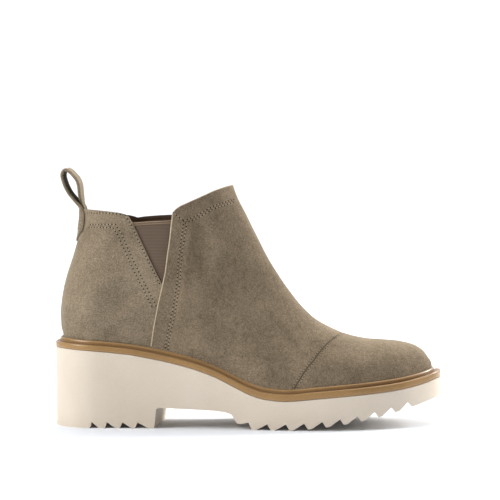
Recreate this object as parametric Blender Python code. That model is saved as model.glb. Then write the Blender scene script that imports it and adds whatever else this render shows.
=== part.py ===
"""Wedge ankle boot for the right foot: toe at +X, lateral side at -Y, standing on Z = 0.

Pieces: saw-toothed wedge outsole, storm welt, insole, hollow suede upper with its front panel
lapped over the back quarter, two elastic gores and a folded pull loop.
"""

import math
from collections import namedtuple

import bmesh
import bpy
from mathutils import Vector

MM = 0.001

# Clearance between pieces that touch on the real boot.
GAP = 0.3 * MM

# Sole, measured along the ground from the back of the heel.
SOLE_LENGTH = 267.0 * MM
HEEL_HEIGHT = 54.0 * MM
FOREFOOT_HEIGHT = 19.5 * MM
TOE_SPRING = 12.5 * MM

# Welt: how far it stands out of the upper, its outer band, and the bead against the upper.
BACK_LEDGE = 5.2 * MM
SIDE_LEDGE = 5.0 * MM
TOE_LEDGE = 6.8 * MM
WELT_HEIGHT_HEEL = 3.8 * MM
WELT_HEIGHT_TOE = 4.7 * MM
WELT_EDGE_ROUND = 0.6 * MM
WELT_GROOVE = 0.45 * MM
BEAD_WIDTH = 1.8 * MM
BEAD_HEIGHT = 3.0 * MM
BEAD_LEAN = 0.4 * MM

# Last: widths at the feather line and at the collar, and heights above the top of the sole.
BALL_WIDTH = 83.0 * MM
LEG_WIDTH = 59.0 * MM
UPPER_HEIGHT = 110.0 * MM
LEG_RISE = 98.0 * MM
HEEL_ROUND = 29.0 * MM
HEEL_POWER = 2.1
TOE_ROUND = 58.0 * MM
TOE_POWER = 2.2
SIDE_BULGE = 2.4 * MM
COLLAR_TILT = 4.5 * MM
UPRIGHT_BAND = 8.5 * MM
BULGE_RISE = 24.0 * MM

# Walls.
UPPER_WALL = 2.3 * MM
PANEL_STEP = 0.9 * MM
GORE_RECESS = 0.7 * MM
GORE_WALL = 1.2 * MM
GORE_CLEARANCE = 0.4 * MM
GORE_TILT = -1.8 * MM
INSOLE_THICKNESS = 3.0 * MM
INSOLE_CLEARANCE = 0.6 * MM

# Heel: notches cut across it, and its breast.
HEEL_NOTCHES = 4
HEEL_NOTCH_START = 27.8 * MM
HEEL_NOTCH_PITCH = 10.4 * MM
HEEL_NOTCH_WIDTH = 6.5 * MM
HEEL_NOTCH_GROWTH = 0.95 * MM
HEEL_NOTCH_STEEP = 0.2
HEEL_EDGE_ROUND = 1.5 * MM
HEEL_LENGTH = 72.4 * MM
BREAST_LEAN = 1.2 * MM
BREAST_ROUND = 2.0 * MM
ARCH_HEIGHT = 14.1 * MM

# Forefoot: as many saw teeth as fit behind the plain toe. Their tips leave the ground along a
# curve past TREAD_BREAK.
PLAIN_TOE = 15.0 * MM
TEETH_START = 140.4 * MM
TOOTH_DEPTH = 4.1 * MM
TOOTH_STEEP = 2.5 * MM
TOOTH_LAND = 2.7 * MM
TOOTH_PITCH = 13.1 * MM
TOOTH_PITCH_LOSS = 0.28 * MM
TREAD_BREAK = 158.0 * MM
TREAD_LIFT = 20.0 * MM
TREAD_POWER = 1.8
SHORT_TOOTH_LAND = 3.8 * MM
SHORT_TOOTH_DEPTH = 1.0 * MM

# Pull loop: a strap sewn on below the collar behind, folded over and set into the collar's edge.
LOOP_HEIGHT = 29.0 * MM
LOOP_WIDTH = 18.0 * MM
LOOP_THICKNESS = 1.9 * MM
LOOP_FLATTEN = 10.0 * MM
TAB_WIDTH = 21.0 * MM
TAB_THICKNESS = 1.5 * MM
TAB_DROP = 22.5 * MM

# The bend of the loop across the boot: widest share of the boot's half width that it is worked
# out for, and how many passes that takes.
WIDEST_BEND = 0.95
BEND_PASSES = 4

# How finely curves are faceted.
OUTLINE_STEPS = 42
SOLE_LINE_STEPS = 54
SECTION_STEPS = 2
RING_STEPS = 12
LOOP_STEPS = 2
STRAP_STEPS = 4
ARC_STEPS = 3
TOE_STEPS = 5

# How much the points of a section crowd towards the sole.
RING_CROWDING = 1.2

# Points of a form closer than this are one corner.
WELD = 0.005 * MM

# Edges that turn more than this, in degrees, stay sharp.
SHARP_EDGE = 35

FOOT_LENGTH = SOLE_LENGTH - BACK_LEDGE - TOE_LEDGE

# A height that clears the whole boot, for the tops of cutters.
TALL = HEEL_HEIGHT + 2 * UPPER_HEIGHT

# Top edge of the outsole: share of SOLE_LENGTH, then shares of the drop from heel to forefoot
# and of TOE_SPRING.
SoleRow = namedtuple("SoleRow", "share heel toe")
SOLE_LINE = (
    SoleRow(0.00, 1.000, 0.00),
    SoleRow(0.10, 0.968, 0.00),
    SoleRow(0.20, 0.900, 0.00),
    SoleRow(0.28, 0.790, 0.00),
    SoleRow(0.36, 0.645, 0.00),
    SoleRow(0.42, 0.490, 0.00),
    SoleRow(0.47, 0.309, 0.00),
    SoleRow(0.52, 0.124, 0.00),
    SoleRow(0.56, 0.035, 0.00),
    SoleRow(0.61, 0.000, 0.00),
    SoleRow(0.70, 0.000, 0.16),
    SoleRow(0.80, 0.000, 0.33),
    SoleRow(0.90, 0.000, 0.54),
    SoleRow(0.96, 0.000, 0.78),
    SoleRow(1.00, 0.000, 1.00),
)

# Feather outline: share of FOOT_LENGTH, then half width and middle (medial is positive) as
# shares of BALL_WIDTH, before the heel and toe are rounded.
OutlineRow = namedtuple("OutlineRow", "share half middle")
OUTLINE = (
    OutlineRow(0.00, 0.340, 0.000),
    OutlineRow(0.15, 0.347, -0.003),
    OutlineRow(0.30, 0.342, -0.021),
    OutlineRow(0.42, 0.352, -0.046),
    OutlineRow(0.55, 0.413, -0.051),
    OutlineRow(0.65, 0.476, -0.027),
    OutlineRow(0.73, 0.500, -0.006),
    OutlineRow(0.82, 0.484, 0.021),
    OutlineRow(0.92, 0.442, 0.045),
    OutlineRow(1.00, 0.395, 0.062),
)

# Underside from the breast to the point of the short tooth: share of the waist's length, height
# as a share of ARCH_HEIGHT.
WaistRow = namedtuple("WaistRow", "share height")
WAIST = (
    WaistRow(0.36, 0.945),
    WaistRow(0.62, 0.890),
    WaistRow(0.73, 0.820),
    WaistRow(0.79, 0.730),
    WaistRow(0.81, 0.570),
    WaistRow(0.85, 0.290),
)

# Bead of the welt, from its outer side to its top: share of BEAD_WIDTH in from that side, share
# of BEAD_HEIGHT above the outer band.
BeadRow = namedtuple("BeadRow", "inward height")
BEAD = (
    BeadRow(0.00, 0.60),
    BeadRow(0.30, 0.92),
    BeadRow(0.60, 1.00),
)

# Leg at the collar: share of FOOT_LENGTH, half width as a share of LEG_WIDTH.
LegRow = namedtuple("LegRow", "share half")
LEG = (
    LegRow(0.00, 0.400),
    LegRow(0.12, 0.450),
    LegRow(0.24, 0.500),
    LegRow(0.36, 0.490),
    LegRow(0.50, 0.440),
    LegRow(0.65, 0.430),
    LegRow(1.00, 0.430),
)

# Back of the upper: share of UPPER_HEIGHT above the sole, set forward as a share of FOOT_LENGTH.
BackRow = namedtuple("BackRow", "rise forward")
BACK = (
    BackRow(0.000, 0.0000),
    BackRow(0.070, 0.0000),
    BackRow(0.120, -0.0050),
    BackRow(0.210, -0.0063),
    BackRow(0.290, -0.0030),
    BackRow(0.380, 0.0040),
    BackRow(0.470, 0.0150),
    BackRow(0.560, 0.0280),
    BackRow(0.660, 0.0410),
    BackRow(0.750, 0.0510),
    BackRow(0.840, 0.0555),
    BackRow(0.920, 0.0560),
    BackRow(1.120, 0.0560),
)

# Sections of the last from toe tip to collar, each a plane across the boot. A section runs from a
# base point, on the sole or up the back, to a ridge point: ridge_x and base are shares of
# FOOT_LENGTH, ridge_rise and back_rise shares of UPPER_HEIGHT. Then comes how much of the
# section's height rounds over to the ridge, and how squarely.
Section = namedtuple("Section", "ridge_x ridge_rise base back_rise rounded power")
SECTIONS = (
    Section(1.0000, 0.000, 1.0000, 0.000, 1.00, 2.30),
    Section(0.9985, 0.092, 0.9985, 0.000, 1.00, 2.30),
    Section(0.9900, 0.134, 0.9900, 0.000, 1.00, 2.30),
    Section(0.9740, 0.190, 0.9740, 0.000, 1.00, 2.30),
    Section(0.9500, 0.234, 0.9500, 0.000, 1.00, 2.30),
    Section(0.9150, 0.267, 0.9150, 0.000, 1.00, 2.25),
    Section(0.8700, 0.289, 0.8700, 0.000, 1.00, 2.20),
    Section(0.8200, 0.309, 0.8180, 0.000, 1.00, 2.15),
    Section(0.7700, 0.347, 0.7620, 0.000, 1.00, 2.10),
    Section(0.7250, 0.400, 0.7050, 0.000, 0.98, 2.05),
    Section(0.6850, 0.464, 0.6450, 0.000, 0.95, 2.00),
    Section(0.6500, 0.551, 0.5800, 0.000, 0.90, 1.95),
    Section(0.6180, 0.650, 0.5080, 0.000, 0.84, 1.90),
    Section(0.5880, 0.748, 0.4250, 0.000, 0.77, 1.90),
    Section(0.5600, 0.847, 0.3350, 0.000, 0.70, 1.90),
    Section(0.5360, 0.942, 0.2450, 0.000, 0.62, 1.90),
    Section(0.5160, 1.018, 0.1600, 0.000, 0.55, 1.90),
    Section(0.5020, 1.072, 0.0900, 0.000, 0.50, 1.90),
    Section(0.4910, 1.108, 0.0420, 0.000, 0.46, 1.90),
    Section(0.4860, 1.124, 0.0140, 0.000, 0.45, 1.90),
    Section(0.4820, 1.138, 0.0000, 0.000, 0.44, 1.90),
    Section(0.4802, 1.146, 0.0000, 0.077, 0.44, 1.90),
    Section(0.4770, 1.160, 0.0000, 0.200, 0.43, 1.90),
    Section(0.4735, 1.176, 0.0000, 0.360, 0.43, 1.90),
    Section(0.4705, 1.192, 0.0000, 0.520, 0.43, 1.90),
    Section(0.4680, 1.207, 0.0000, 0.660, 0.43, 1.90),
    Section(0.4655, 1.224, 0.0000, 0.790, 0.43, 1.90),
    Section(0.4630, 1.250, 0.0000, 0.930, 0.43, 1.90),
    Section(0.4590, 1.300, 0.0000, 1.080, 0.43, 1.90),
)

# Lines on the lateral side: share of SOLE_LENGTH, share of UPPER_HEIGHT above the sole. The
# opening's edge runs along the collar behind, down the back of the gore, up the front panel's edge
# and along the collar in front. COLLAR_TILT and GORE_TILT are how much lower the medial side is.
LineRow = namedtuple("LineRow", "share rise")
COLLAR_BACK = (
    LineRow(-0.1000, 0.894),
    LineRow(0.0730, 0.894),
    LineRow(0.0860, 0.888),
    LineRow(0.1520, 0.881),
    LineRow(0.1840, 0.878),
    LineRow(0.2000, 0.872),
)
GORE_BACK_EDGE = (
    LineRow(0.2068, 0.863),
    LineRow(0.2188, 0.822),
    LineRow(0.2413, 0.712),
    LineRow(0.2688, 0.583),
    LineRow(0.2940, 0.475),
)
PANEL_EDGE = (
    LineRow(0.2662, 0.068),
    LineRow(0.2750, 0.195),
    LineRow(0.2849, 0.334),
    LineRow(0.2945, 0.475),
    LineRow(0.3016, 0.557),
    LineRow(0.3075, 0.668),
    LineRow(0.3133, 0.760),
    LineRow(0.3193, 0.888),
    LineRow(0.3218, 0.935),
    LineRow(0.3260, 1.000),
)
COLLAR_FRONT = (
    LineRow(0.3304, 0.963),
    LineRow(0.3408, 0.988),
    LineRow(0.3865, 1.071),
    LineRow(0.4301, 1.163),
    LineRow(0.4678, 1.245),
    LineRow(0.5600, 1.370),
)
GORE_TOP = (
    LineRow(0.1700, 0.795),
    LineRow(0.2210, 0.827),
    LineRow(0.2630, 0.854),
    LineRow(0.3172, 0.887),
    LineRow(0.3400, 0.900),
)

# Pull loop over the collar, from the tab round to the end in the collar's edge: forward of the
# upper's back and above the collar, both as shares of LOOP_HEIGHT.
LoopRow = namedtuple("LoopRow", "forward up")
LOOP = (
    LoopRow(-0.040, 0.024),
    LoopRow(-0.172, 0.207),
    LoopRow(-0.307, 0.397),
    LoopRow(-0.400, 0.583),
    LoopRow(-0.455, 0.780),
    LoopRow(-0.434, 0.886),
    LoopRow(-0.370, 0.938),
    LoopRow(-0.290, 0.905),
    LoopRow(-0.200, 0.812),
    LoopRow(-0.110, 0.705),
    LoopRow(-0.059, 0.569),
    LoopRow(-0.036, 0.379),
    LoopRow(-0.014, 0.180),
    LoopRow(0.024, 0.060),
    LoopRow(0.037, 0.018),
)

# Tab below the collar: share of TAB_DROP, then shares of TAB_WIDTH and TAB_THICKNESS.
TabRow = namedtuple("TabRow", "drop width thickness")
TAB = (
    TabRow(1.00, 0.12, 0.45),
    TabRow(0.86, 0.52, 0.55),
    TabRow(0.70, 0.86, 0.80),
    TabRow(0.58, 1.00, 1.00),
    TabRow(0.30, 1.00, 1.00),
    TabRow(0.06, 0.97, 1.00),
)


def hermite(a, b, slope_a, slope_b, width, t):
    """Cubic between two values with given slopes."""
    t2, t3 = t * t, t * t * t
    values = (2 * t3 - 3 * t2 + 1) * a + (3 * t2 - 2 * t3) * b
    return values + ((t3 - 2 * t2 + t) * slope_a + (t3 - t2) * slope_b) * width


def slope_at(rows, i, key, field):
    """Slope of a column at row i, held down so that the curve never overshoots its rows."""
    if i in (0, len(rows) - 1):
        return 0.0
    before, here, after = rows[i - 1], rows[i], rows[i + 1]
    value = getattr(here, field)
    left = (value - getattr(before, field)) / (getattr(here, key) - getattr(before, key))
    right = (getattr(after, field) - value) / (getattr(after, key) - getattr(here, key))
    return 0.0 if left * right <= 0 else 2 * left * right / (left + right)


def read(rows, key, at, field):
    """Smooth value of a column where the key column is `at`. Past the ends it stays level."""
    if at <= getattr(rows[0], key):
        return getattr(rows[0], field)
    if at >= getattr(rows[-1], key):
        return getattr(rows[-1], field)
    i = max(n for n, row in enumerate(rows) if getattr(row, key) <= at)
    start, width = getattr(rows[i], key), getattr(rows[i + 1], key) - getattr(rows[i], key)
    values = [getattr(rows[n], field) for n in (i, i + 1)]
    slopes = [slope_at(rows, n, key, field) for n in (i, i + 1)]
    return hermite(*values, *slopes, width, (at - start) / width)


def between_rows(rows, steps):
    """Each row of a table with `steps - 1` more after it, on a smooth curve through them all."""
    made = []
    for i in range(len(rows) - 1):
        around = [rows[max(0, min(len(rows) - 1, i + k))] for k in (-1, 0, 1, 2)]
        for n in range(steps):
            values = []
            for p0, p1, p2, p3 in zip(*around):
                values.append(hermite(p1, p2, (p2 - p0) / 2, (p3 - p1) / 2, 1.0, n / steps))
            made.append(type(rows[0])(*values))
    made.append(rows[-1])
    return made


def rounded_end(distance, length, power):
    """Share of the full width at a distance from a rounded end of the given length."""
    if distance <= WELD:
        return 0.0
    t = max(1 - distance / length, 0.0)
    return (1 - t**power) ** (1 / power)


def smooth_step(t):
    t = min(max(t, 0.0), 1.0)
    return t * t * (3 - 2 * t)


def sole_line(x):
    """Height of the outsole's top edge."""
    share = x / SOLE_LENGTH
    drop = read(SOLE_LINE, "share", share, "heel") * (HEEL_HEIGHT - FOREFOOT_HEIGHT)
    return FOREFOOT_HEIGHT + drop + read(SOLE_LINE, "share", share, "toe") * TOE_SPRING


def welt_height(x):
    """Height of the welt's outer band, above its underside."""
    heel = read(SOLE_LINE, "share", x / SOLE_LENGTH, "heel")
    return WELT_HEIGHT_TOE + (WELT_HEIGHT_HEEL - WELT_HEIGHT_TOE) * heel


def back_of_upper(rise):
    """X of the upper's back at a height above the sole."""
    return BACK_LEDGE + read(BACK, "rise", rise / UPPER_HEIGHT, "forward") * FOOT_LENGTH


def body(x, rise):
    """Middle and half width of the last, before its ends are rounded."""
    share = (x - BACK_LEDGE) / FOOT_LENGTH
    foot = read(OUTLINE, "share", share, "half") * BALL_WIDTH
    foot += SIDE_BULGE * smooth_step((rise - UPRIGHT_BAND) / (BULGE_RISE - UPRIGHT_BAND))
    leg = read(LEG, "share", share, "half") * LEG_WIDTH
    climb = smooth_step((rise - BULGE_RISE / 2) / (LEG_RISE - BULGE_RISE / 2))
    middle = read(OUTLINE, "share", share, "middle") * BALL_WIDTH
    return middle, foot + (leg - foot) * climb


def ends(x, rise):
    """How far the rounding of heel and toe narrows the last."""
    toe = rounded_end(BACK_LEDGE + FOOT_LENGTH - x, TOE_ROUND, TOE_POWER)
    return toe * rounded_end(x - back_of_upper(rise), HEEL_ROUND, HEEL_POWER)


def side_point(row, shift=0.0):
    """A row of a side line as a point, moved along the boot by `shift`."""
    x = row.share * SOLE_LENGTH + shift
    return x, sole_line(x) + row.rise * UPPER_HEIGHT


def feather_outline():
    """Plan outline of the upper at the sole, from the back of the heel round the lateral side."""
    points = []
    for i in range(2 * OUTLINE_STEPS):
        x = BACK_LEDGE + FOOT_LENGTH * (1 - math.cos(math.pi * i / OUTLINE_STEPS)) / 2
        middle, half = body(x, 0.0)
        side = -1 if i <= OUTLINE_STEPS else 1
        points.append(Vector((x, middle + side * half * ends(x, 0.0))))
    return points


def outward(points, i):
    """Outward normal of a plan outline that runs heel, lateral side, toe, medial side."""
    run = points[(i + 1) % len(points)] - points[i - 1]
    return Vector((run.y, -run.x)).normalized()


def ledge(normal):
    """How far the welt stands out where its outline faces this way."""
    back, toe = max(-normal.x, 0.0) ** 2, max(normal.x, 0.0) ** 2
    return SIDE_LEDGE + (BACK_LEDGE - SIDE_LEDGE) * back + (TOE_LEDGE - SIDE_LEDGE) * toe


def sole_outline():
    feather = feather_outline()
    normals = [outward(feather, i) for i in range(len(feather))]
    return [point + normal * ledge(normal) for point, normal in zip(feather, normals)]


def boot_origin():
    """Point on the ground under the middle of the sole's outline."""
    outline = sole_outline()
    low = Vector((min(p.x for p in outline), min(p.y for p in outline), 0.0))
    high = Vector((max(p.x for p in outline), max(p.y for p in outline), 0.0))
    return (low + high) / 2


ORIGIN = boot_origin()

# A place along the pull loop: its middle seen from the side, its section, the height above the
# sole that its bend across the boot is read at, and the share of that bend.
Station = namedtuple("Station", "x z width thickness rise bend")


def material(name, colour, roughness):
    made = bpy.data.materials.new(name)
    made.use_nodes = True
    shader = made.node_tree.nodes["Principled BSDF"]
    shader.inputs["Base Color"].default_value = (*colour, 1.0)
    shader.inputs["Roughness"].default_value = roughness
    shader.inputs["Metallic"].default_value = 0.0
    return made


def finished(bm, name, collection, surface=None):
    """Makes the object, in the frame whose origin is ORIGIN. With no surface it is a cutter."""
    bmesh.ops.recalc_face_normals(bm, faces=bm.faces)
    bmesh.ops.translate(bm, verts=bm.verts, vec=-ORIGIN)
    mesh = bpy.data.meshes.new(name)
    bm.to_mesh(mesh)
    bm.free()
    obj = bpy.data.objects.new(name, mesh)
    collection.objects.link(obj)
    if surface is None:
        obj.hide_render = True
        obj.display_type = "WIRE"
        return obj
    mesh.materials.append(surface)
    mesh.shade_smooth()
    mesh.set_sharp_from_angle(angle=math.radians(SHARP_EDGE))
    return obj


def boolean(obj, operation, other):
    modifier = obj.modifiers.new(f"{operation.lower()} {other.name}", "BOOLEAN")
    modifier.operation = operation
    modifier.object = other


def extruded(name, corners, push, collection, surface=None):
    """A flat outline pushed along a vector."""
    bm = bmesh.new()
    face = bm.faces.new([bm.verts.new(corner) for corner in corners])
    geometry = bmesh.ops.extrude_face_region(bm, geom=[face])["geom"]
    moved = [item for item in geometry if isinstance(item, bmesh.types.BMVert)]
    bmesh.ops.translate(bm, verts=moved, vec=push)
    return finished(bm, name, collection, surface)


def side_prism(name, outline, collection, low=-BALL_WIDTH, high=BALL_WIDTH, tilt=0.0):
    """A cutter with this outline seen from the side, from y = low to y = high.

    The outline holds on the lateral side of the leg, and is `tilt` lower on its medial side.
    """
    slope = tilt / LEG_WIDTH
    raised = slope * (-LEG_WIDTH / 2 - low)
    corners = [(x, low, z + raised) for x, z in outline]
    return extruded(name, corners, Vector((0, high - low, -slope * (high - low))), collection)


def tread_line(x):
    """Height that the tips of the forefoot's teeth reach down to."""
    share = max(0.0, (x - TREAD_BREAK) / (SOLE_LENGTH - TREAD_BREAK))
    return TREAD_LIFT * share**TREAD_POWER


def arc(centre_x, centre_z, radius, start, end):
    """Points on an arc, angles in degrees."""
    step = (end - start) / ARC_STEPS
    turns = [math.radians(start + step * n) for n in range(ARC_STEPS + 1)]
    return [(centre_x + radius * math.cos(a), centre_z + radius * math.sin(a)) for a in turns]


def heel_profile():
    """Underside of the heel, from its back to the top of the breast."""
    points = [(-SIDE_LEDGE, HEEL_EDGE_ROUND)]
    points += arc(HEEL_EDGE_ROUND, HEEL_EDGE_ROUND, HEEL_EDGE_ROUND, 180, 270)
    for i in range(HEEL_NOTCHES):
        start = HEEL_NOTCH_START + i * HEEL_NOTCH_PITCH
        width = HEEL_NOTCH_WIDTH + i * HEEL_NOTCH_GROWTH
        points += [
            (start, 0.0),
            (start + HEEL_NOTCH_STEEP * width, TOOTH_DEPTH),
            (start + width, 0.0),
        ]
    points.append((HEEL_LENGTH, 0.0))
    corner_x = HEEL_LENGTH + BREAST_LEAN + BREAST_ROUND
    return points + arc(corner_x, ARCH_HEIGHT - BREAST_ROUND, BREAST_ROUND, 180, 90)


def waist_profile():
    """Underside from the breast to the first full tooth, with a short tooth before it."""
    span = TEETH_START - HEEL_LENGTH
    points = [(HEEL_LENGTH + row.share * span, row.height * ARCH_HEIGHT) for row in WAIST]
    tip_x, tip_z = points[-1]
    points.append((tip_x + SHORT_TOOTH_LAND, tip_z))
    points.append((TEETH_START - TOOTH_STEEP, tip_z + SHORT_TOOTH_DEPTH))
    return points


def teeth_profile():
    """Saw teeth of the forefoot, then the plain toe."""
    points = []
    tip, pitch = TEETH_START, TOOTH_PITCH
    while tip + pitch < SOLE_LENGTH - PLAIN_TOE:
        land = tip + TOOTH_LAND
        valley = tip + pitch - TOOTH_STEEP
        points.append((tip, tread_line(tip)))
        points.append((land, tread_line(land)))
        points.append((valley, tread_line(valley) + TOOTH_DEPTH))
        tip += pitch
        pitch -= TOOTH_PITCH_LOSS
    run = SOLE_LENGTH + TOE_LEDGE - tip
    plain = [tip + run * n / TOE_STEPS for n in range(TOE_STEPS + 1)]
    return points + [(x, tread_line(x)) for x in plain]


def top_profile():
    """Top of the outsole from toe to heel, past both ends."""
    low, high = -SIDE_LEDGE, SOLE_LENGTH + TOE_LEDGE
    xs = [high + (low - high) * n / SOLE_LINE_STEPS for n in range(SOLE_LINE_STEPS + 1)]
    return [(x, sole_line(x)) for x in xs]


def make_outsole(parts, cutters, surface):
    base = -TOOTH_DEPTH
    corners = [(p.x, p.y, base) for p in sole_outline()]
    push = Vector((0, 0, 2 * HEEL_HEIGHT))
    outsole = extruded("outsole", corners, push, parts, surface)
    profile = heel_profile() + waist_profile() + teeth_profile() + top_profile()
    boolean(outsole, "INTERSECT", side_prism("outsole_side", profile, cutters))
    return outsole


def welt_section(x, reach):
    """Cross-section of the welt, as (out from the feather line, above the outsole)."""
    top = GAP + welt_height(x)
    bead = GAP + BEAD_WIDTH
    band = [
        (GAP, GAP),
        (reach, GAP),
        (reach, top - WELT_EDGE_ROUND),
        (reach - WELT_EDGE_ROUND, top),
        (bead + WELT_GROOVE, top),
        (bead, top - WELT_GROOVE),
    ]
    round_over = [(bead - row.inward * BEAD_WIDTH, top + row.height * BEAD_HEIGHT) for row in BEAD]
    return band + round_over + [(GAP + BEAD_LEAN, round_over[-2][1])]


def make_welt(parts, surface):
    """A ring: one cross-section swept round the feather outline."""
    feather = feather_outline()
    bm = bmesh.new()
    rings = []
    for i, point in enumerate(feather):
        normal = outward(feather, i)
        ring = []
        for out, up in welt_section(point.x, ledge(normal)):
            place = point + normal * out
            ring.append(bm.verts.new((place.x, place.y, sole_line(place.x) + up)))
        rings.append(ring)
    for ring, following in zip(rings, rings[1:] + rings[:1]):
        for n in range(len(ring)):
            m = (n + 1) % len(ring)
            bm.faces.new((ring[n], ring[m], following[m], following[n]))
    return finished(bm, "welt", parts, surface)


def make_insole(parts, surface):
    """A plate inside the upper's wall that follows the top of the outsole."""
    feather = feather_outline()
    inset = UPPER_WALL + INSOLE_CLEARANCE
    outline = [point - outward(feather, i) * inset for i, point in enumerate(feather)]
    count = len(outline)
    bm = bmesh.new()
    levels = []
    for up in (GAP, GAP + INSOLE_THICKNESS):
        levels.append([bm.verts.new((p.x, p.y, sole_line(p.x) + up)) for p in outline])
    for ring in levels:
        for i in range(OUTLINE_STEPS):
            across = (ring[i], ring[i + 1], ring[count - i - 1], ring[-i])
            bm.faces.new(tuple(dict.fromkeys(across)))
    low, high = levels
    for i in range(count):
        n = (i + 1) % count
        bm.faces.new((low[i], low[n], high[n], high[i]))
    return finished(bm, "insole", parts, surface)


def section_ring(section):
    """Points of a section, from its lateral base point over the ridge to its medial one.

    They lie closest together at base and ridge.
    """
    ridge_x = BACK_LEDGE + section.ridge_x * FOOT_LENGTH
    ridge = Vector((ridge_x, sole_line(ridge_x) + GAP + section.ridge_rise * UPPER_HEIGHT))
    rise = max(section.back_rise, 0.0) * UPPER_HEIGHT
    base_x = back_of_upper(rise) if rise > 0 else BACK_LEDGE + max(section.base, 0.0) * FOOT_LENGTH
    base = Vector((base_x, sole_line(base_x) + GAP + rise))
    lateral, medial = [], []
    for j in range(RING_STEPS + 1):
        share = ((1 - math.cos(math.pi * j / RING_STEPS)) / 2) ** RING_CROWDING
        place = base.lerp(ridge, share)
        rise = place.y - sole_line(place.x) - GAP
        middle, half = body(place.x, rise)
        half *= ends(place.x, rise) * rounded_end(1 - share, section.rounded, section.power)
        lateral.append((place.x, middle - half, place.y))
        medial.append((place.x, middle + half, place.y))
    return lateral + medial[-2::-1]


def add_face(bm, corners):
    """A face of the corners that differ, if three or more do."""
    distinct = tuple(dict.fromkeys(corners))
    if len(distinct) > 2:
        bm.faces.new(distinct)


def last_form(name, offset, drop, collection, surface=None):
    """The last as a closed body, grown by `offset` and carried `drop` below the sole's top."""
    bm = bmesh.new()
    known = {}

    def corner(place):
        key = tuple(round(value / WELD) for value in place)
        if key not in known:
            known[key] = bm.verts.new(place)
        return known[key]

    sections = between_rows(SECTIONS, SECTION_STEPS)
    rings = [[corner(place) for place in section_ring(section)] for section in sections]
    for ring, following in zip(rings, rings[1:]):
        for j in range(len(ring) - 1):
            add_face(bm, (ring[j], ring[j + 1], following[j + 1], following[j]))
    bm.normal_update()
    on_sole = [ring for ring, section in zip(rings, sections) if section.back_rise <= 0]
    feather = {vert for ring in on_sole for vert in (ring[0], ring[-1])}
    places = {}
    for vert in bm.verts:
        if vert in feather:
            flat = Vector((vert.normal.x, vert.normal.y, 0)).normalized()
            place = vert.co + flat * offset
            place.z = sole_line(place.x) + GAP - drop
        else:
            place = vert.co + vert.normal * offset
        places[vert] = place
    for vert, place in places.items():
        vert.co = place
    for ring, following in zip(on_sole, on_sole[1:]):
        add_face(bm, (ring[0], following[0], following[-1], ring[-1]))
    add_face(bm, rings[-1])
    return finished(bm, name, collection, surface)


def bead_top(x):
    """Height just above the welt's bead."""
    return sole_line(x) + welt_height(x) + BEAD_HEIGHT + 2 * GAP


def front_outline():
    """Side view of the front panel: forward of its edge and above the welt's bead."""
    edge = [side_point(row) for row in PANEL_EDGE]
    start, end = edge[0][0], SOLE_LENGTH + TOE_LEDGE
    count = SOLE_LINE_STEPS // 2
    xs = [end + (start - end) * n / count for n in range(count)]
    above_bead = [(x, bead_top(x)) for x in xs]
    raised = [point for point in edge if point[1] > bead_top(point[0])]
    return raised + [(edge[-1][0], TALL), (end, TALL)] + above_bead + [(start, bead_top(start))]


def panel_edge_by_gore():
    """The part of the front panel's edge that borders the elastic."""
    low, high = GORE_BACK_EDGE[-1].rise, COLLAR_FRONT[0].rise
    return [row for row in PANEL_EDGE if low <= row.rise < high]


def opening_outline():
    """Side view of all that is cut away above the collar and in the V for the elastic."""
    back = [side_point(row) for row in COLLAR_BACK + GORE_BACK_EDGE]
    edge = [side_point(row, GAP) for row in panel_edge_by_gore()]
    front = [side_point(row) for row in COLLAR_FRONT]
    return back + edge + front + [(front[-1][0], TALL), (back[0][0], TALL)]


def gore_outline():
    """Side view of the elastic, set in from the V's edges."""
    back = [side_point(row, GORE_CLEARANCE) for row in GORE_BACK_EDGE[:-1]]
    edge = [side_point(row, GAP - GORE_CLEARANCE) for row in panel_edge_by_gore()]
    apex_x, apex_z = edge[0]
    above = [(x, z + COLLAR_TILT) for x, z in (edge[-1], back[0])]
    return back + [(apex_x, apex_z + 4 * GORE_CLEARANCE)] + edge[1:] + above


def gore_top_outline():
    """Side view of all that is cut away above the elastic."""
    line = [side_point(row) for row in GORE_TOP]
    return line + [(line[-1][0], TALL), (line[0][0], TALL)]


def make_upper(parts, cutters, surface):
    """Outer form with a thicker front panel, hollowed, and cut at collar and gores."""
    upper = last_form("upper", 0.0, 0.0, parts, surface)
    front = last_form("upper_front", PANEL_STEP, 0.0, cutters)
    boolean(front, "INTERSECT", side_prism("upper_front_region", front_outline(), cutters))
    boolean(upper, "UNION", front)
    boolean(upper, "DIFFERENCE", last_form("upper_inside", -UPPER_WALL, UPPER_WALL, cutters))
    opening = side_prism("upper_opening", opening_outline(), cutters, tilt=COLLAR_TILT)
    boolean(upper, "DIFFERENCE", opening)
    return upper


def make_gore(name, low, high, parts, cutters, surface):
    """Elastic between y = low and y = high, thinner than the suede and set back from its face."""
    gore = last_form(name, -GORE_RECESS, 0.0, parts, surface)
    depth = GORE_RECESS + GORE_WALL
    boolean(gore, "DIFFERENCE", last_form(f"{name}_inside", -depth, GORE_WALL, cutters))
    region = side_prism(f"{name}_region", gore_outline(), cutters, low, high, COLLAR_TILT)
    boolean(gore, "INTERSECT", region)
    top = side_prism(f"{name}_top", gore_top_outline(), cutters, tilt=GORE_TILT)
    boolean(gore, "DIFFERENCE", top)
    return gore


def round_the_back(y, rise):
    """How far the upper's back lies forward of its middle line at this distance from it."""
    forward = 0.0
    for _ in range(BEND_PASSES):
        share = min(abs(y) / body(back_of_upper(rise) + forward, rise)[1], WIDEST_BEND)
        forward = HEEL_ROUND * (1 - (1 - share**HEEL_POWER) ** (1 / HEEL_POWER))
    return forward


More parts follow.
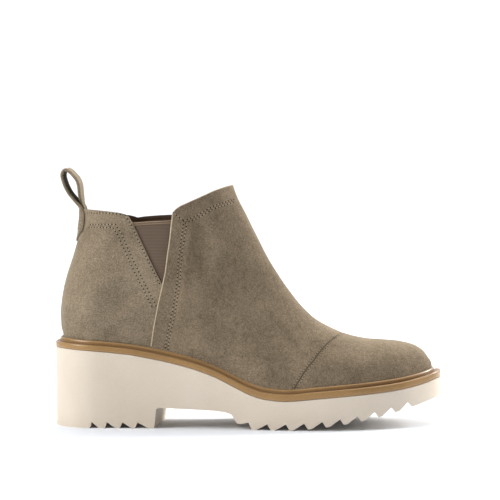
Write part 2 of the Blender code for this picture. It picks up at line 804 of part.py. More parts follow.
def strap_stations():
    """Middle line of the pull loop from the tab's point to the end in the collar."""
    collar_rise = COLLAR_BACK[0].rise * UPPER_HEIGHT - COLLAR_TILT / 2
    back_x = back_of_upper(collar_rise)
    collar_z = sole_line(back_x) + collar_rise
    stations = []
    for row in between_rows(TAB, LOOP_STEPS):
        rise = collar_rise - row.drop * TAB_DROP
        thickness = row.thickness * TAB_THICKNESS
        x = back_of_upper(rise) - GAP - thickness / 2
        z = collar_z - row.drop * TAB_DROP
        stations.append(Station(x, z, row.width * TAB_WIDTH, thickness, rise, 1.0))
    for row in between_rows(LOOP, LOOP_STEPS):
        up = row.up * LOOP_HEIGHT
        free = smooth_step(up / LOOP_FLATTEN)
        thickness = TAB_THICKNESS + (LOOP_THICKNESS - TAB_THICKNESS) * free
        x = back_x + row.forward * LOOP_HEIGHT
        stations.append(Station(x, collar_z + up, LOOP_WIDTH, thickness, collar_rise, 1 - free))
    return stations


def make_pull_loop(parts, surface):
    """A strap swept along its stations, bent across where it lies on the back of the upper."""
    stations = strap_stations()
    bm = bmesh.new()
    rings = []
    for i, station in enumerate(stations):
        before, after = stations[max(i - 1, 0)], stations[min(i + 1, len(stations) - 1)]
        normal = Vector((after.z - before.z, before.x - after.x)).normalized()
        faces = ([], [])
        for n in range(STRAP_STEPS + 1):
            y = station.width * (n / STRAP_STEPS - 0.5)
            x = station.x + station.bend * round_the_back(y, station.rise)
            for face, side in zip(faces, (-0.5, 0.5)):
                out = normal * (side * station.thickness)
                face.append(bm.verts.new((x + out.x, y, station.z + out.y)))
        rings.append(faces[0] + faces[1][::-1])
    for ring, following in zip(rings, rings[1:]):
        for n in range(len(ring)):
            m = (n + 1) % len(ring)
            bm.faces.new((ring[n], ring[m], following[m], following[n]))
    for ring in (rings[0], rings[-1]):
        for n in range(STRAP_STEPS):
            bm.faces.new((ring[n], ring[n + 1], ring[-n - 2], ring[-n - 1]))
    return finished(bm, "pull_loop", parts, surface)


def main():
    for obj in list(bpy.data.objects):
        bpy.data.objects.remove(obj)
    parts = bpy.data.collections.new("wedge_ankle_boot")
    cutters = bpy.data.collections.new("cutters")
    for collection in (parts, cutters):
        bpy.context.scene.collection.children.link(collection)
    make_outsole(parts, cutters, material("cream_rubber", (0.80, 0.70, 0.56), 0.55))
    make_welt(parts, material("tan_welt", (0.38, 0.22, 0.09), 0.40))
    make_insole(parts, material("insole_board", (0.20, 0.13, 0.08), 0.80))
    suede = material("taupe_suede", (0.27, 0.22, 0.16), 0.90)
    make_upper(parts, cutters, suede)
    elastic = material("brown_elastic", (0.15, 0.11, 0.08), 0.80)
    make_gore("gore_lateral", -BALL_WIDTH, 0.0, parts, cutters, elastic)
    make_gore("gore_medial", 0.0, BALL_WIDTH, parts, cutters, elastic.copy())
    make_pull_loop(parts, material("loop_suede", (0.27, 0.22, 0.16), 0.90))


main()
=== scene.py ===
"""Looks of the wedge ankle boot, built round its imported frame.

Suede toe cap, front panel and back quarter over a dark lining, elastic gores, pull loop, waxed
welt and cream rubber sole, with their seams, stitches, raw edges and nap.
"""

import math
from collections import namedtuple

import bmesh
import bpy
from mathutils import Matrix, Vector
from mathutils.bvhtree import BVHTree


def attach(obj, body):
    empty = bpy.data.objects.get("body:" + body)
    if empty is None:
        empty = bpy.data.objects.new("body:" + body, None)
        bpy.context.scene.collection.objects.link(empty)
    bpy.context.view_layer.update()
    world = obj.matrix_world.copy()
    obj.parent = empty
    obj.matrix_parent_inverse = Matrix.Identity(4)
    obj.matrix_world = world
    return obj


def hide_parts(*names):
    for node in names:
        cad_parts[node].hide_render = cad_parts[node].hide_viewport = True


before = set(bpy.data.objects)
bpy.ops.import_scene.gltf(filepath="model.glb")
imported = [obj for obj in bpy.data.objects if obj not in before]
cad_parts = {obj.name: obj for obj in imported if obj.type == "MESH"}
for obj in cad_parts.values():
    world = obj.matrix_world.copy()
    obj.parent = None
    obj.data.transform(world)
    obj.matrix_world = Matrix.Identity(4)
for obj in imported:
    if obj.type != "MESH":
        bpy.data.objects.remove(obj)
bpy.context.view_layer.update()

MM = 0.001

# Clearance between pieces that touch on the real boot.
GAP = 0.3 * MM

# Sole, measured along the ground from the back of the heel.
SOLE_LENGTH = 267.0 * MM
HEEL_HEIGHT = 54.0 * MM
FOREFOOT_HEIGHT = 19.5 * MM
TOE_SPRING = 12.5 * MM

# Welt: how far it stands out of the upper, its outer band, and the bead against the upper.
BACK_LEDGE = 5.2 * MM
SIDE_LEDGE = 5.0 * MM
TOE_LEDGE = 6.8 * MM
WELT_HEIGHT_HEEL = 3.8 * MM
WELT_HEIGHT_TOE = 4.7 * MM
WELT_EDGE_ROUND = 0.6 * MM
WELT_GROOVE = 0.45 * MM
BEAD_WIDTH = 1.8 * MM
BEAD_HEIGHT = 3.0 * MM
BEAD_LEAN = 0.4 * MM

# Last: widths at the feather line and at the collar, and heights above the top of the sole.
BALL_WIDTH = 83.0 * MM
LEG_WIDTH = 59.0 * MM
UPPER_HEIGHT = 110.0 * MM
LEG_RISE = 98.0 * MM
HEEL_ROUND = 29.0 * MM
HEEL_POWER = 2.1
TOE_ROUND = 58.0 * MM
TOE_POWER = 2.2
SIDE_BULGE = 2.4 * MM
COLLAR_TILT = 4.5 * MM
UPRIGHT_BAND = 8.5 * MM
BULGE_RISE = 24.0 * MM

# Walls.
PANEL_STEP = 0.9 * MM
GORE_TILT = -1.8 * MM

# Heel: notches cut across it, and its breast.
HEEL_NOTCHES = 4
HEEL_NOTCH_START = 27.8 * MM
HEEL_NOTCH_PITCH = 10.4 * MM
HEEL_NOTCH_WIDTH = 6.5 * MM
HEEL_NOTCH_GROWTH = 0.95 * MM
HEEL_NOTCH_STEEP = 0.2
HEEL_EDGE_ROUND = 1.5 * MM
HEEL_LENGTH = 72.4 * MM
BREAST_LEAN = 1.2 * MM
BREAST_ROUND = 2.0 * MM
ARCH_HEIGHT = 14.1 * MM

# Forefoot: as many saw teeth as fit behind the plain toe. Their tips leave the ground along a
# curve past TREAD_BREAK.
PLAIN_TOE = 15.0 * MM
TEETH_START = 140.4 * MM
TOOTH_DEPTH = 4.1 * MM
TOOTH_STEEP = 2.5 * MM
TOOTH_LAND = 2.7 * MM
TOOTH_PITCH = 13.1 * MM
TOOTH_PITCH_LOSS = 0.28 * MM
TREAD_BREAK = 158.0 * MM
TREAD_LIFT = 20.0 * MM
TREAD_POWER = 1.8
SHORT_TOOTH_LAND = 3.8 * MM
SHORT_TOOTH_DEPTH = 1.0 * MM

# Pull loop: a strap sewn on below the collar behind, folded over and set into the collar's edge.
LOOP_HEIGHT = 29.0 * MM
LOOP_WIDTH = 18.0 * MM
LOOP_THICKNESS = 1.9 * MM
LOOP_FLATTEN = 10.0 * MM
TAB_WIDTH = 28.0 * MM
TAB_THICKNESS = 2.0 * MM
TAB_DROP = 22.5 * MM

# The bend of the loop across the boot: widest share of the boot's half width that it is worked
# out for, and how many passes that takes.
WIDEST_BEND = 0.95
BEND_PASSES = 4

# How finely the visible pieces are drawn.
OUTLINE_STEPS = 150
SOLE_LINE_STEPS = 150
SECTION_STEPS = 7
RING_STEPS = 74
LOOP_STEPS = 8
ARC_STEPS = 6
TOE_STEPS = 12
STRAP_ROUND = 5
STRAP_STEPS = 14

# How much the points of a section crowd towards the sole.
RING_CROWDING = 1.2

# Points of a form closer than this are one corner.
WELD = 0.005 * MM

FOOT_LENGTH = SOLE_LENGTH - BACK_LEDGE - TOE_LEDGE

# A height that clears the whole boot, for the tops of cutters.
TALL = HEEL_HEIGHT + 2 * UPPER_HEIGHT


def table(columns, *rows):
    """Rows whose values are read by the names of their columns."""
    kind = namedtuple("Row", columns)
    return tuple(kind(*row) for row in rows)


# Top edge of the outsole: share of SOLE_LENGTH, then shares of the drop from heel to forefoot
# and of TOE_SPRING.
SOLE_LINE = table("share heel toe",
    (0.0, 1.0, 0.0), (0.1, 0.968, 0.0), (0.2, 0.9, 0.0), (0.28, 0.79, 0.0), (0.36, 0.645, 0.0),
    (0.42, 0.49, 0.0), (0.47, 0.309, 0.0), (0.52, 0.124, 0.0), (0.56, 0.035, 0.0),
    (0.61, 0.0, 0.0), (0.7, 0.0, 0.16), (0.8, 0.0, 0.33), (0.9, 0.0, 0.54), (0.96, 0.0, 0.78),
    (1.0, 0.0, 1.0))

# Feather outline: share of FOOT_LENGTH, then half width and middle (medial is positive) as
# shares of BALL_WIDTH, before the heel and toe are rounded.
OUTLINE = table("share half middle",
    (0.0, 0.34, 0.0), (0.15, 0.347, -0.003), (0.3, 0.342, -0.021), (0.42, 0.352, -0.046),
    (0.55, 0.413, -0.051), (0.65, 0.476, -0.027), (0.73, 0.5, -0.006), (0.82, 0.484, 0.021),
    (0.92, 0.442, 0.045), (1.0, 0.395, 0.062))

# Underside from the breast to the point of the short tooth: share of the waist's length, height
# as a share of ARCH_HEIGHT.
WAIST = table("share height",
    (0.36, 0.945), (0.62, 0.89), (0.73, 0.82), (0.79, 0.73), (0.81, 0.57), (0.85, 0.29))

# Bead of the welt, from its outer side to its top: share of BEAD_WIDTH in from that side, share
# of BEAD_HEIGHT above the outer band.
BEAD = table("inward height",
    (0.0, 0.6), (0.3, 0.92), (0.6, 1.0))

# Leg at the collar: share of FOOT_LENGTH, half width as a share of LEG_WIDTH.
LEG = table("share half",
    (0.0, 0.4), (0.12, 0.45), (0.24, 0.5), (0.36, 0.49), (0.5, 0.44), (0.65, 0.43), (1.0, 0.43))

# Back of the upper: share of UPPER_HEIGHT above the sole, set forward as a share of FOOT_LENGTH.
BACK = table("rise forward",
    (0.0, 0.0), (0.07, 0.0), (0.12, -0.005), (0.21, -0.0063), (0.29, -0.003), (0.38, 0.004),
    (0.47, 0.015), (0.56, 0.028), (0.66, 0.041), (0.75, 0.051), (0.84, 0.0555), (0.92, 0.056),
    (1.12, 0.056))

# Sections of the last from toe tip to collar, each a plane across the boot. A section runs from a
# base point, on the sole or up the back, to a ridge point: ridge_x and base are shares of
# FOOT_LENGTH, ridge_rise and back_rise shares of UPPER_HEIGHT. Then comes how much of the
# section's height rounds over to the ridge, and how squarely.
SECTIONS = table("ridge_x ridge_rise base back_rise rounded power",
    (1.0, 0.0, 1.0, 0.0, 1.0, 2.3), (0.9985, 0.092, 0.9985, 0.0, 1.0, 2.3),
    (0.99, 0.134, 0.99, 0.0, 1.0, 2.3), (0.974, 0.19, 0.974, 0.0, 1.0, 2.3),
    (0.95, 0.234, 0.95, 0.0, 1.0, 2.3), (0.915, 0.267, 0.915, 0.0, 1.0, 2.25),
    (0.87, 0.289, 0.87, 0.0, 1.0, 2.2), (0.82, 0.309, 0.818, 0.0, 1.0, 2.15),
    (0.77, 0.347, 0.762, 0.0, 1.0, 2.1), (0.725, 0.4, 0.705, 0.0, 0.98, 2.05),
    (0.685, 0.464, 0.645, 0.0, 0.95, 2.0), (0.65, 0.551, 0.58, 0.0, 0.9, 1.95),
    (0.618, 0.65, 0.508, 0.0, 0.84, 1.9), (0.588, 0.748, 0.425, 0.0, 0.77, 1.9),
    (0.56, 0.847, 0.335, 0.0, 0.7, 1.9), (0.536, 0.942, 0.245, 0.0, 0.62, 1.9),
    (0.516, 1.018, 0.16, 0.0, 0.55, 1.9), (0.502, 1.072, 0.09, 0.0, 0.5, 1.9),
    (0.491, 1.108, 0.042, 0.0, 0.46, 1.9), (0.486, 1.124, 0.014, 0.0, 0.45, 1.9),
    (0.482, 1.138, 0.0, 0.0, 0.44, 1.9), (0.4802, 1.146, 0.0, 0.077, 0.44, 1.9),
    (0.477, 1.16, 0.0, 0.2, 0.43, 1.9), (0.4735, 1.176, 0.0, 0.36, 0.43, 1.9),
    (0.4705, 1.192, 0.0, 0.52, 0.43, 1.9), (0.468, 1.207, 0.0, 0.66, 0.43, 1.9),
    (0.4655, 1.224, 0.0, 0.79, 0.43, 1.9), (0.463, 1.25, 0.0, 0.93, 0.43, 1.9),
    (0.459, 1.3, 0.0, 1.08, 0.43, 1.9))

# Lines on the lateral side: share of SOLE_LENGTH, share of UPPER_HEIGHT above the sole. The
# opening's edge runs along the collar behind, down the back of the gore, up the front panel's edge
# and along the collar in front. COLLAR_TILT and GORE_TILT are how much lower the medial side is.
COLLAR_BACK = table("share rise",
    (-0.1, 0.894), (0.073, 0.894), (0.086, 0.888), (0.152, 0.881), (0.184, 0.878), (0.2, 0.872))
GORE_BACK_EDGE = table("share rise",
    (0.2068, 0.863), (0.2188, 0.822), (0.2413, 0.712), (0.2688, 0.583), (0.294, 0.475))
PANEL_EDGE = table("share rise",
    (0.2662, 0.068), (0.275, 0.195), (0.2849, 0.334), (0.2945, 0.475), (0.3016, 0.557),
    (0.3075, 0.668), (0.3133, 0.76), (0.3193, 0.888), (0.3218, 0.935), (0.326, 1.0))
COLLAR_FRONT = table("share rise",
    (0.3304, 0.963), (0.3408, 0.988), (0.3865, 1.071), (0.4301, 1.163), (0.4678, 1.245),
    (0.56, 1.37))
GORE_TOP = table("share rise",
    (0.17, 0.795), (0.221, 0.827), (0.263, 0.854), (0.3172, 0.887), (0.34, 0.9))

# Pull loop over the collar, from the tab round to the end in the collar's edge: forward of the
# upper's back and above the collar, both as shares of LOOP_HEIGHT.
LOOP = table("forward up",
    (-0.045, 0.024), (-0.172, 0.207), (-0.307, 0.397), (-0.4, 0.583), (-0.455, 0.78),
    (-0.434, 0.886), (-0.37, 0.938), (-0.29, 0.905), (-0.2, 0.812), (-0.11, 0.705),
    (-0.059, 0.569), (-0.04, 0.379), (-0.024, 0.18), (0.006, 0.08), (0.036, 0.01), (0.042, -0.07))

# Tab below the collar: share of TAB_DROP, then shares of TAB_WIDTH and TAB_THICKNESS.
TAB = table("drop width thickness",
    (1.0, 0.12, 0.45), (0.86, 0.52, 0.55), (0.7, 0.86, 0.8), (0.58, 1.0, 1.0), (0.3, 1.0, 1.0),
    (0.14, 0.95, 1.0), (0.03, 0.76, 1.0))


def hermite(a, b, slope_a, slope_b, width, t):
    """Cubic between two values with given slopes."""
    t2, t3 = t * t, t * t * t
    values = (2 * t3 - 3 * t2 + 1) * a + (3 * t2 - 2 * t3) * b
    return values + ((t3 - 2 * t2 + t) * slope_a + (t3 - t2) * slope_b) * width


def slope_at(rows, i, key, field):
    """Slope of a column at row i, held down so that the curve never overshoots its rows."""
    if i in (0, len(rows) - 1):
        return 0.0
    before, here, after = rows[i - 1], rows[i], rows[i + 1]
    value = getattr(here, field)
    left = (value - getattr(before, field)) / (getattr(here, key) - getattr(before, key))
    right = (getattr(after, field) - value) / (getattr(after, key) - getattr(here, key))
    return 0.0 if left * right <= 0 else 2 * left * right / (left + right)


def read(rows, key, at, field):
    """Smooth value of a column where the key column is `at`. Past the ends it stays level."""
    if at <= getattr(rows[0], key):
        return getattr(rows[0], field)
    if at >= getattr(rows[-1], key):
        return getattr(rows[-1], field)
    i = max(n for n, row in enumerate(rows) if getattr(row, key) <= at)
    start, width = getattr(rows[i], key), getattr(rows[i + 1], key) - getattr(rows[i], key)
    values = [getattr(rows[n], field) for n in (i, i + 1)]
    slopes = [slope_at(rows, n, key, field) for n in (i, i + 1)]
    return hermite(*values, *slopes, width, (at - start) / width)


def between_rows(rows, steps):
    """Each row of a table with `steps - 1` more after it, on a smooth curve through them all."""
    made = []
    for i in range(len(rows) - 1):
        around = [rows[max(0, min(len(rows) - 1, i + k))] for k in (-1, 0, 1, 2)]
        for n in range(steps):
            values = []
            for p0, p1, p2, p3 in zip(*around):
                values.append(hermite(p1, p2, (p2 - p0) / 2, (p3 - p1) / 2, 1.0, n / steps))
            made.append(type(rows[0])(*values))
    made.append(rows[-1])
    return made


def rounded_end(distance, length, power):
    """Share of the full width at a distance from a rounded end of the given length."""
    if distance <= WELD:
        return 0.0
    t = max(1 - distance / length, 0.0)
    return (1 - t**power) ** (1 / power)


def smooth_step(t):
    t = min(max(t, 0.0), 1.0)
    return t * t * (3 - 2 * t)


def sole_line(x):
    """Height of the outsole's top edge."""
    share = x / SOLE_LENGTH
    drop = read(SOLE_LINE, "share", share, "heel") * (HEEL_HEIGHT - FOREFOOT_HEIGHT)
    return FOREFOOT_HEIGHT + drop + read(SOLE_LINE, "share", share, "toe") * TOE_SPRING


def welt_height(x):
    """Height of the welt's outer band, above its underside."""
    heel = read(SOLE_LINE, "share", x / SOLE_LENGTH, "heel")
    return WELT_HEIGHT_TOE + (WELT_HEIGHT_HEEL - WELT_HEIGHT_TOE) * heel


def back_of_upper(rise):
    """X of the upper's back at a height above the sole."""
    return BACK_LEDGE + read(BACK, "rise", rise / UPPER_HEIGHT, "forward") * FOOT_LENGTH


def body(x, rise):
    """Middle and half width of the last, before its ends are rounded."""
    share = (x - BACK_LEDGE) / FOOT_LENGTH
    foot = read(OUTLINE, "share", share, "half") * BALL_WIDTH
    foot += SIDE_BULGE * smooth_step((rise - UPRIGHT_BAND) / (BULGE_RISE - UPRIGHT_BAND))
    leg = read(LEG, "share", share, "half") * LEG_WIDTH
    climb = smooth_step((rise - BULGE_RISE / 2) / (LEG_RISE - BULGE_RISE / 2))
    middle = read(OUTLINE, "share", share, "middle") * BALL_WIDTH
    return middle, foot + (leg - foot) * climb


def ends(x, rise):
    """How far the rounding of heel and toe narrows the last."""
    toe = rounded_end(BACK_LEDGE + FOOT_LENGTH - x, TOE_ROUND, TOE_POWER)
    return toe * rounded_end(x - back_of_upper(rise), HEEL_ROUND, HEEL_POWER)


def side_point(row, shift=0.0):
    """A row of a side line as a point, moved along the boot by `shift`."""
    x = row.share * SOLE_LENGTH + shift
    return x, sole_line(x) + row.rise * UPPER_HEIGHT


def feather_outline():
    """Plan outline of the upper at the sole, from the back of the heel round the lateral side."""
    points = []
    for i in range(2 * OUTLINE_STEPS):
        x = BACK_LEDGE + FOOT_LENGTH * (1 - math.cos(math.pi * i / OUTLINE_STEPS)) / 2
        middle, half = body(x, 0.0)
        side = -1 if i <= OUTLINE_STEPS else 1
        points.append(Vector((x, middle + side * half * ends(x, 0.0))))
    return points


def outward(points, i):
    """Outward normal of a plan outline that runs heel, lateral side, toe, medial side."""
    run = points[(i + 1) % len(points)] - points[i - 1]
    return Vector((run.y, -run.x)).normalized()


def ledge(normal):
    """How far the welt stands out where its outline faces this way."""
    back, toe = max(-normal.x, 0.0) ** 2, max(normal.x, 0.0) ** 2
    return SIDE_LEDGE + (BACK_LEDGE - SIDE_LEDGE) * back + (TOE_LEDGE - SIDE_LEDGE) * toe


def sole_outline():
    feather = feather_outline()
    normals = [outward(feather, i) for i in range(len(feather))]
    return [point + normal * ledge(normal) for point, normal in zip(feather, normals)]


def boot_origin():
    """Point on the ground under the middle of the sole's outline."""
    outline = sole_outline()
    low = Vector((min(p.x for p in outline), min(p.y for p in outline), 0.0))
    high = Vector((max(p.x for p in outline), max(p.y for p in outline), 0.0))
    return (low + high) / 2


ORIGIN = boot_origin()

# A place along the pull loop: its middle seen from the side, its section, the height above the
# sole that its bend across the boot is read at, and the share of that bend.
Station = namedtuple("Station", "x z width thickness rise bend")


def tread_line(x):
    """Height that the tips of the forefoot's teeth reach down to."""
    share = max(0.0, (x - TREAD_BREAK) / (SOLE_LENGTH - TREAD_BREAK))
    return TREAD_LIFT * share**TREAD_POWER


def arc(centre_x, centre_z, radius, start, end):
    """Points on an arc, angles in degrees."""
    step = (end - start) / ARC_STEPS
    turns = [math.radians(start + step * n) for n in range(ARC_STEPS + 1)]
    return [(centre_x + radius * math.cos(a), centre_z + radius * math.sin(a)) for a in turns]


def heel_profile():
    """Underside of the heel, from its back to the top of the breast."""
    points = [(-SIDE_LEDGE, HEEL_EDGE_ROUND)]
    points += arc(HEEL_EDGE_ROUND, HEEL_EDGE_ROUND, HEEL_EDGE_ROUND, 180, 270)
    for i in range(HEEL_NOTCHES):
        start = HEEL_NOTCH_START + i * HEEL_NOTCH_PITCH
        width = HEEL_NOTCH_WIDTH + i * HEEL_NOTCH_GROWTH
        points += [
            (start, 0.0),
            (start + HEEL_NOTCH_STEEP * width, TOOTH_DEPTH),
            (start + width, 0.0),
        ]
    points.append((HEEL_LENGTH, 0.0))
    corner_x = HEEL_LENGTH + BREAST_LEAN + BREAST_ROUND
    return points + arc(corner_x, ARCH_HEIGHT - BREAST_ROUND, BREAST_ROUND, 180, 90)


def waist_profile():
    """Underside from the breast to the first full tooth, with a short tooth before it."""
    span = TEETH_START - HEEL_LENGTH
    points = [(HEEL_LENGTH + row.share * span, row.height * ARCH_HEIGHT) for row in WAIST]
    tip_x, tip_z = points[-1]
    points.append((tip_x + SHORT_TOOTH_LAND, tip_z))
    points.append((TEETH_START - TOOTH_STEEP, tip_z + SHORT_TOOTH_DEPTH))
    return points


def teeth_profile():
    """Saw teeth of the forefoot, then the plain toe."""
    points = []
    tip, pitch = TEETH_START, TOOTH_PITCH
    while tip + pitch < SOLE_LENGTH - PLAIN_TOE:
        land = tip + TOOTH_LAND
        valley = tip + pitch - TOOTH_STEEP
        points.append((tip, tread_line(tip)))
        points.append((land, tread_line(land)))
        points.append((valley, tread_line(valley) + TOOTH_DEPTH))
        tip += pitch
        pitch -= TOOTH_PITCH_LOSS
    run = SOLE_LENGTH + TOE_LEDGE - tip
    plain = [tip + run * n / TOE_STEPS for n in range(TOE_STEPS + 1)]
    return points + [(x, tread_line(x)) for x in plain]


def top_profile():
    """Top of the outsole from toe to heel, past both ends."""
    low, high = -SIDE_LEDGE, SOLE_LENGTH + TOE_LEDGE
    xs = [high + (low - high) * n / SOLE_LINE_STEPS for n in range(SOLE_LINE_STEPS + 1)]
    return [(x, sole_line(x)) for x in xs]


def welt_section(x, reach):
    """Cross-section of the welt, as (out from the feather line, above the outsole)."""
    top = GAP + welt_height(x)
    bead = GAP + BEAD_WIDTH
    band = [
        (GAP, GAP),
        (reach, GAP),
        (reach, top - WELT_EDGE_ROUND),
        (reach - WELT_EDGE_ROUND, top),
        (bead + WELT_GROOVE, top),
        (bead, top - WELT_GROOVE),
    ]
    round_over = [(bead - row.inward * BEAD_WIDTH, top + row.height * BEAD_HEIGHT) for row in BEAD]
    return band + round_over + [(GAP + BEAD_LEAN, round_over[-2][1])]


def section_ring(section):
    """Points of a section, from its lateral base point over the ridge to its medial one.

    They lie closest together at base and ridge.
    """
    ridge_x = BACK_LEDGE + section.ridge_x * FOOT_LENGTH
    ridge = Vector((ridge_x, sole_line(ridge_x) + GAP + section.ridge_rise * UPPER_HEIGHT))
    rise = max(section.back_rise, 0.0) * UPPER_HEIGHT
    base_x = back_of_upper(rise) if rise > 0 else BACK_LEDGE + max(section.base, 0.0) * FOOT_LENGTH
    base = Vector((base_x, sole_line(base_x) + GAP + rise))
    lateral, medial = [], []
    for j in range(RING_STEPS + 1):
        share = ((1 - math.cos(math.pi * j / RING_STEPS)) / 2) ** RING_CROWDING
        place = base.lerp(ridge, share)
        rise = place.y - sole_line(place.x) - GAP
        middle, half = body(place.x, rise)
        half *= ends(place.x, rise) * rounded_end(1 - share, section.rounded, section.power)
        lateral.append((place.x, middle - half, place.y))
        medial.append((place.x, middle + half, place.y))
    return lateral + medial[-2::-1]


def bead_top(x):
    """Height just above the welt's bead."""
    return sole_line(x) + welt_height(x) + BEAD_HEIGHT + 2 * GAP


def panel_edge_by_gore():
    """The part of the front panel's edge that borders the elastic."""
    low, high = GORE_BACK_EDGE[-1].rise, COLLAR_FRONT[0].rise
    return [row for row in PANEL_EDGE if low <= row.rise < high]


def gore_top_outline():
    """Side view of all that is cut away above the elastic."""
    line = [side_point(row) for row in GORE_TOP]
    return line + [(line[-1][0], TALL), (line[0][0], TALL)]


def round_the_back(y, rise):
    """How far the upper's back lies forward of its middle line at this distance from it."""
    forward = 0.0
    for _ in range(BEND_PASSES):
        share = min(abs(y) / body(back_of_upper(rise) + forward, rise)[1], WIDEST_BEND)
        forward = HEEL_ROUND * (1 - (1 - share**HEEL_POWER) ** (1 / HEEL_POWER))
    return forward


# Edges that turn more than this many degrees stay crisp.
SHARP_EDGE = 35.0

# Layers of the upper, measured in from the face of the back quarter.
SUEDE = 1.2 * MM
LINING_DEPTH = 1.25 * MM
LINING = 0.9 * MM
GORE_DEPTH = 1.3 * MM
ELASTIC = 0.8 * MM
GORE_TUCK = 3.0 * MM
GORE_BINDING = 2.0 * MM
BINDING_LIFT = 0.35 * MM
SEAM_GAP = 0.6 * MM
PANEL_OVERLAP = 0.4 * MM

# Where each cut of leather reaches along the boot before it is trimmed.
CAP_REACH = (163 * MM, SOLE_LENGTH)
PANEL_REACH = (66 * MM, 212 * MM)
QUARTER_REACH = (-10 * MM, 92 * MM)
GORE_REACH = (40 * MM, 96 * MM)

# Thin rounded edges: radius, how deep they are sunk, where they lie, and the pitch of their
# places.
RAW_EDGE = 0.5 * MM
RAW_SINK = 0.25 * MM
COLLAR_EDGE = 0.32 * MM
COLLAR_SINK = 0.2 * MM
RAW_AHEAD = GAP + 0.2 * MM
COLLAR_DROP = 0.25 * MM
BINDING_EDGE = 0.2 * MM
PIPING_DROPS = (0.25 * MM, 1.9 * MM)
EDGE_PITCH = 1.5 * MM
PIPING_PITCH = 1.0 * MM
EDGE_SIDES = 8

# Strap: its stitches' distance from the edge, its end in the collar, its width at the tab's top.
STRAP_MARGIN = 1.6 * MM
END_THICKNESS = 1.1 * MM
END_WIDTH = 11.0 * MM
TAB_TOP_WIDTH = 20.5 * MM

# The welt's groove takes a darker leather: painted shade between the band and the bead.
# Rows of the welt's section that lie in its groove, counted in points, and its corners' rounding.
GROOVE_ROWS = (7.0, 13.0)
CORNER = 0.18 * MM
CORNER_SHARE = 0.3
SOLE_BEVEL = 0.45 * MM

# Stitches: pitches, the distance between double rows, the thread and its holes.
STITCH_PITCH = 2.6 * MM
CAP_PITCH = 2.1 * MM
STRAP_PITCH = 2.3 * MM
LONGEST_STITCH = 6 * MM
ROWS_APART = 2.0 * MM
CAP_ROW_SHIFT = 1.6 * MM
THREAD_LENGTH = 0.38
THREAD_WIDTH = 0.24 * MM
THREAD_RISE = 0.22 * MM
HOLE_LENGTH = 0.55 * MM
HOLE_WIDTH = 0.5 * MM
HOLE_DEPTH = 0.06 * MM
FINE_STEP = 0.25 * MM
PAST_MIDDLE = 20 * MM

# Points of a sheet's rim this close to the sole are set down on it.
FOOT_SNAP = 2 * MM
CAP_TOP = 90 * MM


def mm_line(*points):
    return [(x * MM, z * MM) for x, z in points]


# Lines on the lateral side in millimetres: from the back of the heel, and above the ground.
CAP_SEAM = mm_line((203.5, 64.6), (198.3, 62.1), (195.1, 60.8), (190.9, 57.5), (186.8, 52.9),
                   (182.3, 46.9), (178.5, 42.5), (175.3, 38.0), (172.7, 33.5), (169.7, 28.8),
                   (167.0, 22.0))
EDGE_FOOT = mm_line((75.1, 83.5), (72.1, 68.7), (69.7, 55.2), (66.7, 35.0))
PANEL_ROW = mm_line((95.7, 140.7), (94.8, 134.9), (93.9, 129.7), (93.2, 124.7), (92.4, 119.6),
                    (91.9, 114.5), (91.3, 105.0), (91.0, 99.5), (90.2, 94.8), (87.6, 79.1),
                    (83.0, 60.0), (82.0, 53.0))
TOP_ROW = mm_line((93.6, 141.7), (101.6, 145.2), (109.8, 150.0), (114.3, 152.4), (126.0, 157.0))
TACK_ROW = mm_line((86.9, 147.4), (90.0, 144.6), (93.6, 142.0))
QUARTER_ROW = mm_line((27.7, 139.8), (46.4, 139.6), (50.3, 133.5), (57.1, 118.3), (64.5, 102.7),
                      (74.3, 83.5))
V_ROW = mm_line((53.4, 145.6), (57.2, 139.6), (63.3, 126.6), (70.7, 110.9), (77.4, 97.6))
COLLAR_ROW = mm_line((25.0, 147.9), (31.4, 147.7), (40.4, 147.5), (49.4, 146.5), (51.8, 146.1))

# Soft troughs (negative) and ridges of the worn-in leather, seen from the side: both ends, then
# half width and depth, in millimetres. Side is -1 for lateral, 1 for medial, 0 for both.
CREASING = 2.4
CREASES = table(
    "x0 z0 x1 z1 width depth side",
    (103, 140, 107, 114, 6.0, -1.0, 0), (114, 143, 120, 112, 7.0, 0.6, 0),
    (118, 112, 139, 92, 6.0, -0.7, -1), (122, 104, 146, 84, 4.5, 0.5, -1),
    (128, 92, 150, 66, 7.0, -0.7, 0), (104, 84, 126, 62, 6.5, -0.6, -1),
    (96, 70, 118, 50, 5.0, 0.5, -1), (60, 92, 40, 78, 7.0, -0.7, 0),
    (44, 104, 30, 92, 6.0, 0.4, -1), (66, 74, 48, 66, 6.0, -0.5, -1),
    (154, 64, 166, 48, 5.0, -0.5, 0), (162, 66, 174, 52, 4.0, 0.4, 0),
    (118, 118, 138, 100, 6.0, -0.6, 1), (100, 96, 118, 78, 6.0, -0.6, 1),
)

# The panel puffs up ahead of its stitches and sinks at them, at the top row and at the cap's
# seam: height in millimetres, then half width.
PUFF, PUFF_AHEAD, PUFF_WIDTH = 0.55, 3.6 * MM, 2.6 * MM
ROW_SINK, ROW_BACK, ROW_WIDTH = 0.45, 1.0 * MM, 1.6 * MM
TOP_SINK, TOP_WIDTH = 0.35, 1.8 * MM
SEAM_SINK, SEAM_WIDTH = 0.3, 1.1 * MM

# Wear fades out over these distances: at the top row, at the middle line and at the welt.
TOP_FADE = 4 * MM
MIDDLE_FADE = 12 * MM
WELT_FADE = 6 * MM
WELT_START = 2 * MM


def height_on(line, x):
    """Height of a side line at x. Past its ends it goes straight on."""
    ordered = sorted(line)
    pairs = list(zip(ordered, ordered[1:]))
    (xa, za), (xb, zb) = next((pair for pair in pairs if x < pair[1][0]), pairs[-1])
    return za + (zb - za) * (x - xa) / (xb - xa)


def place_on(line, z):
    """Place along the boot of a steep side line at height z."""
    return height_on([(height, x) for x, height in line], z)


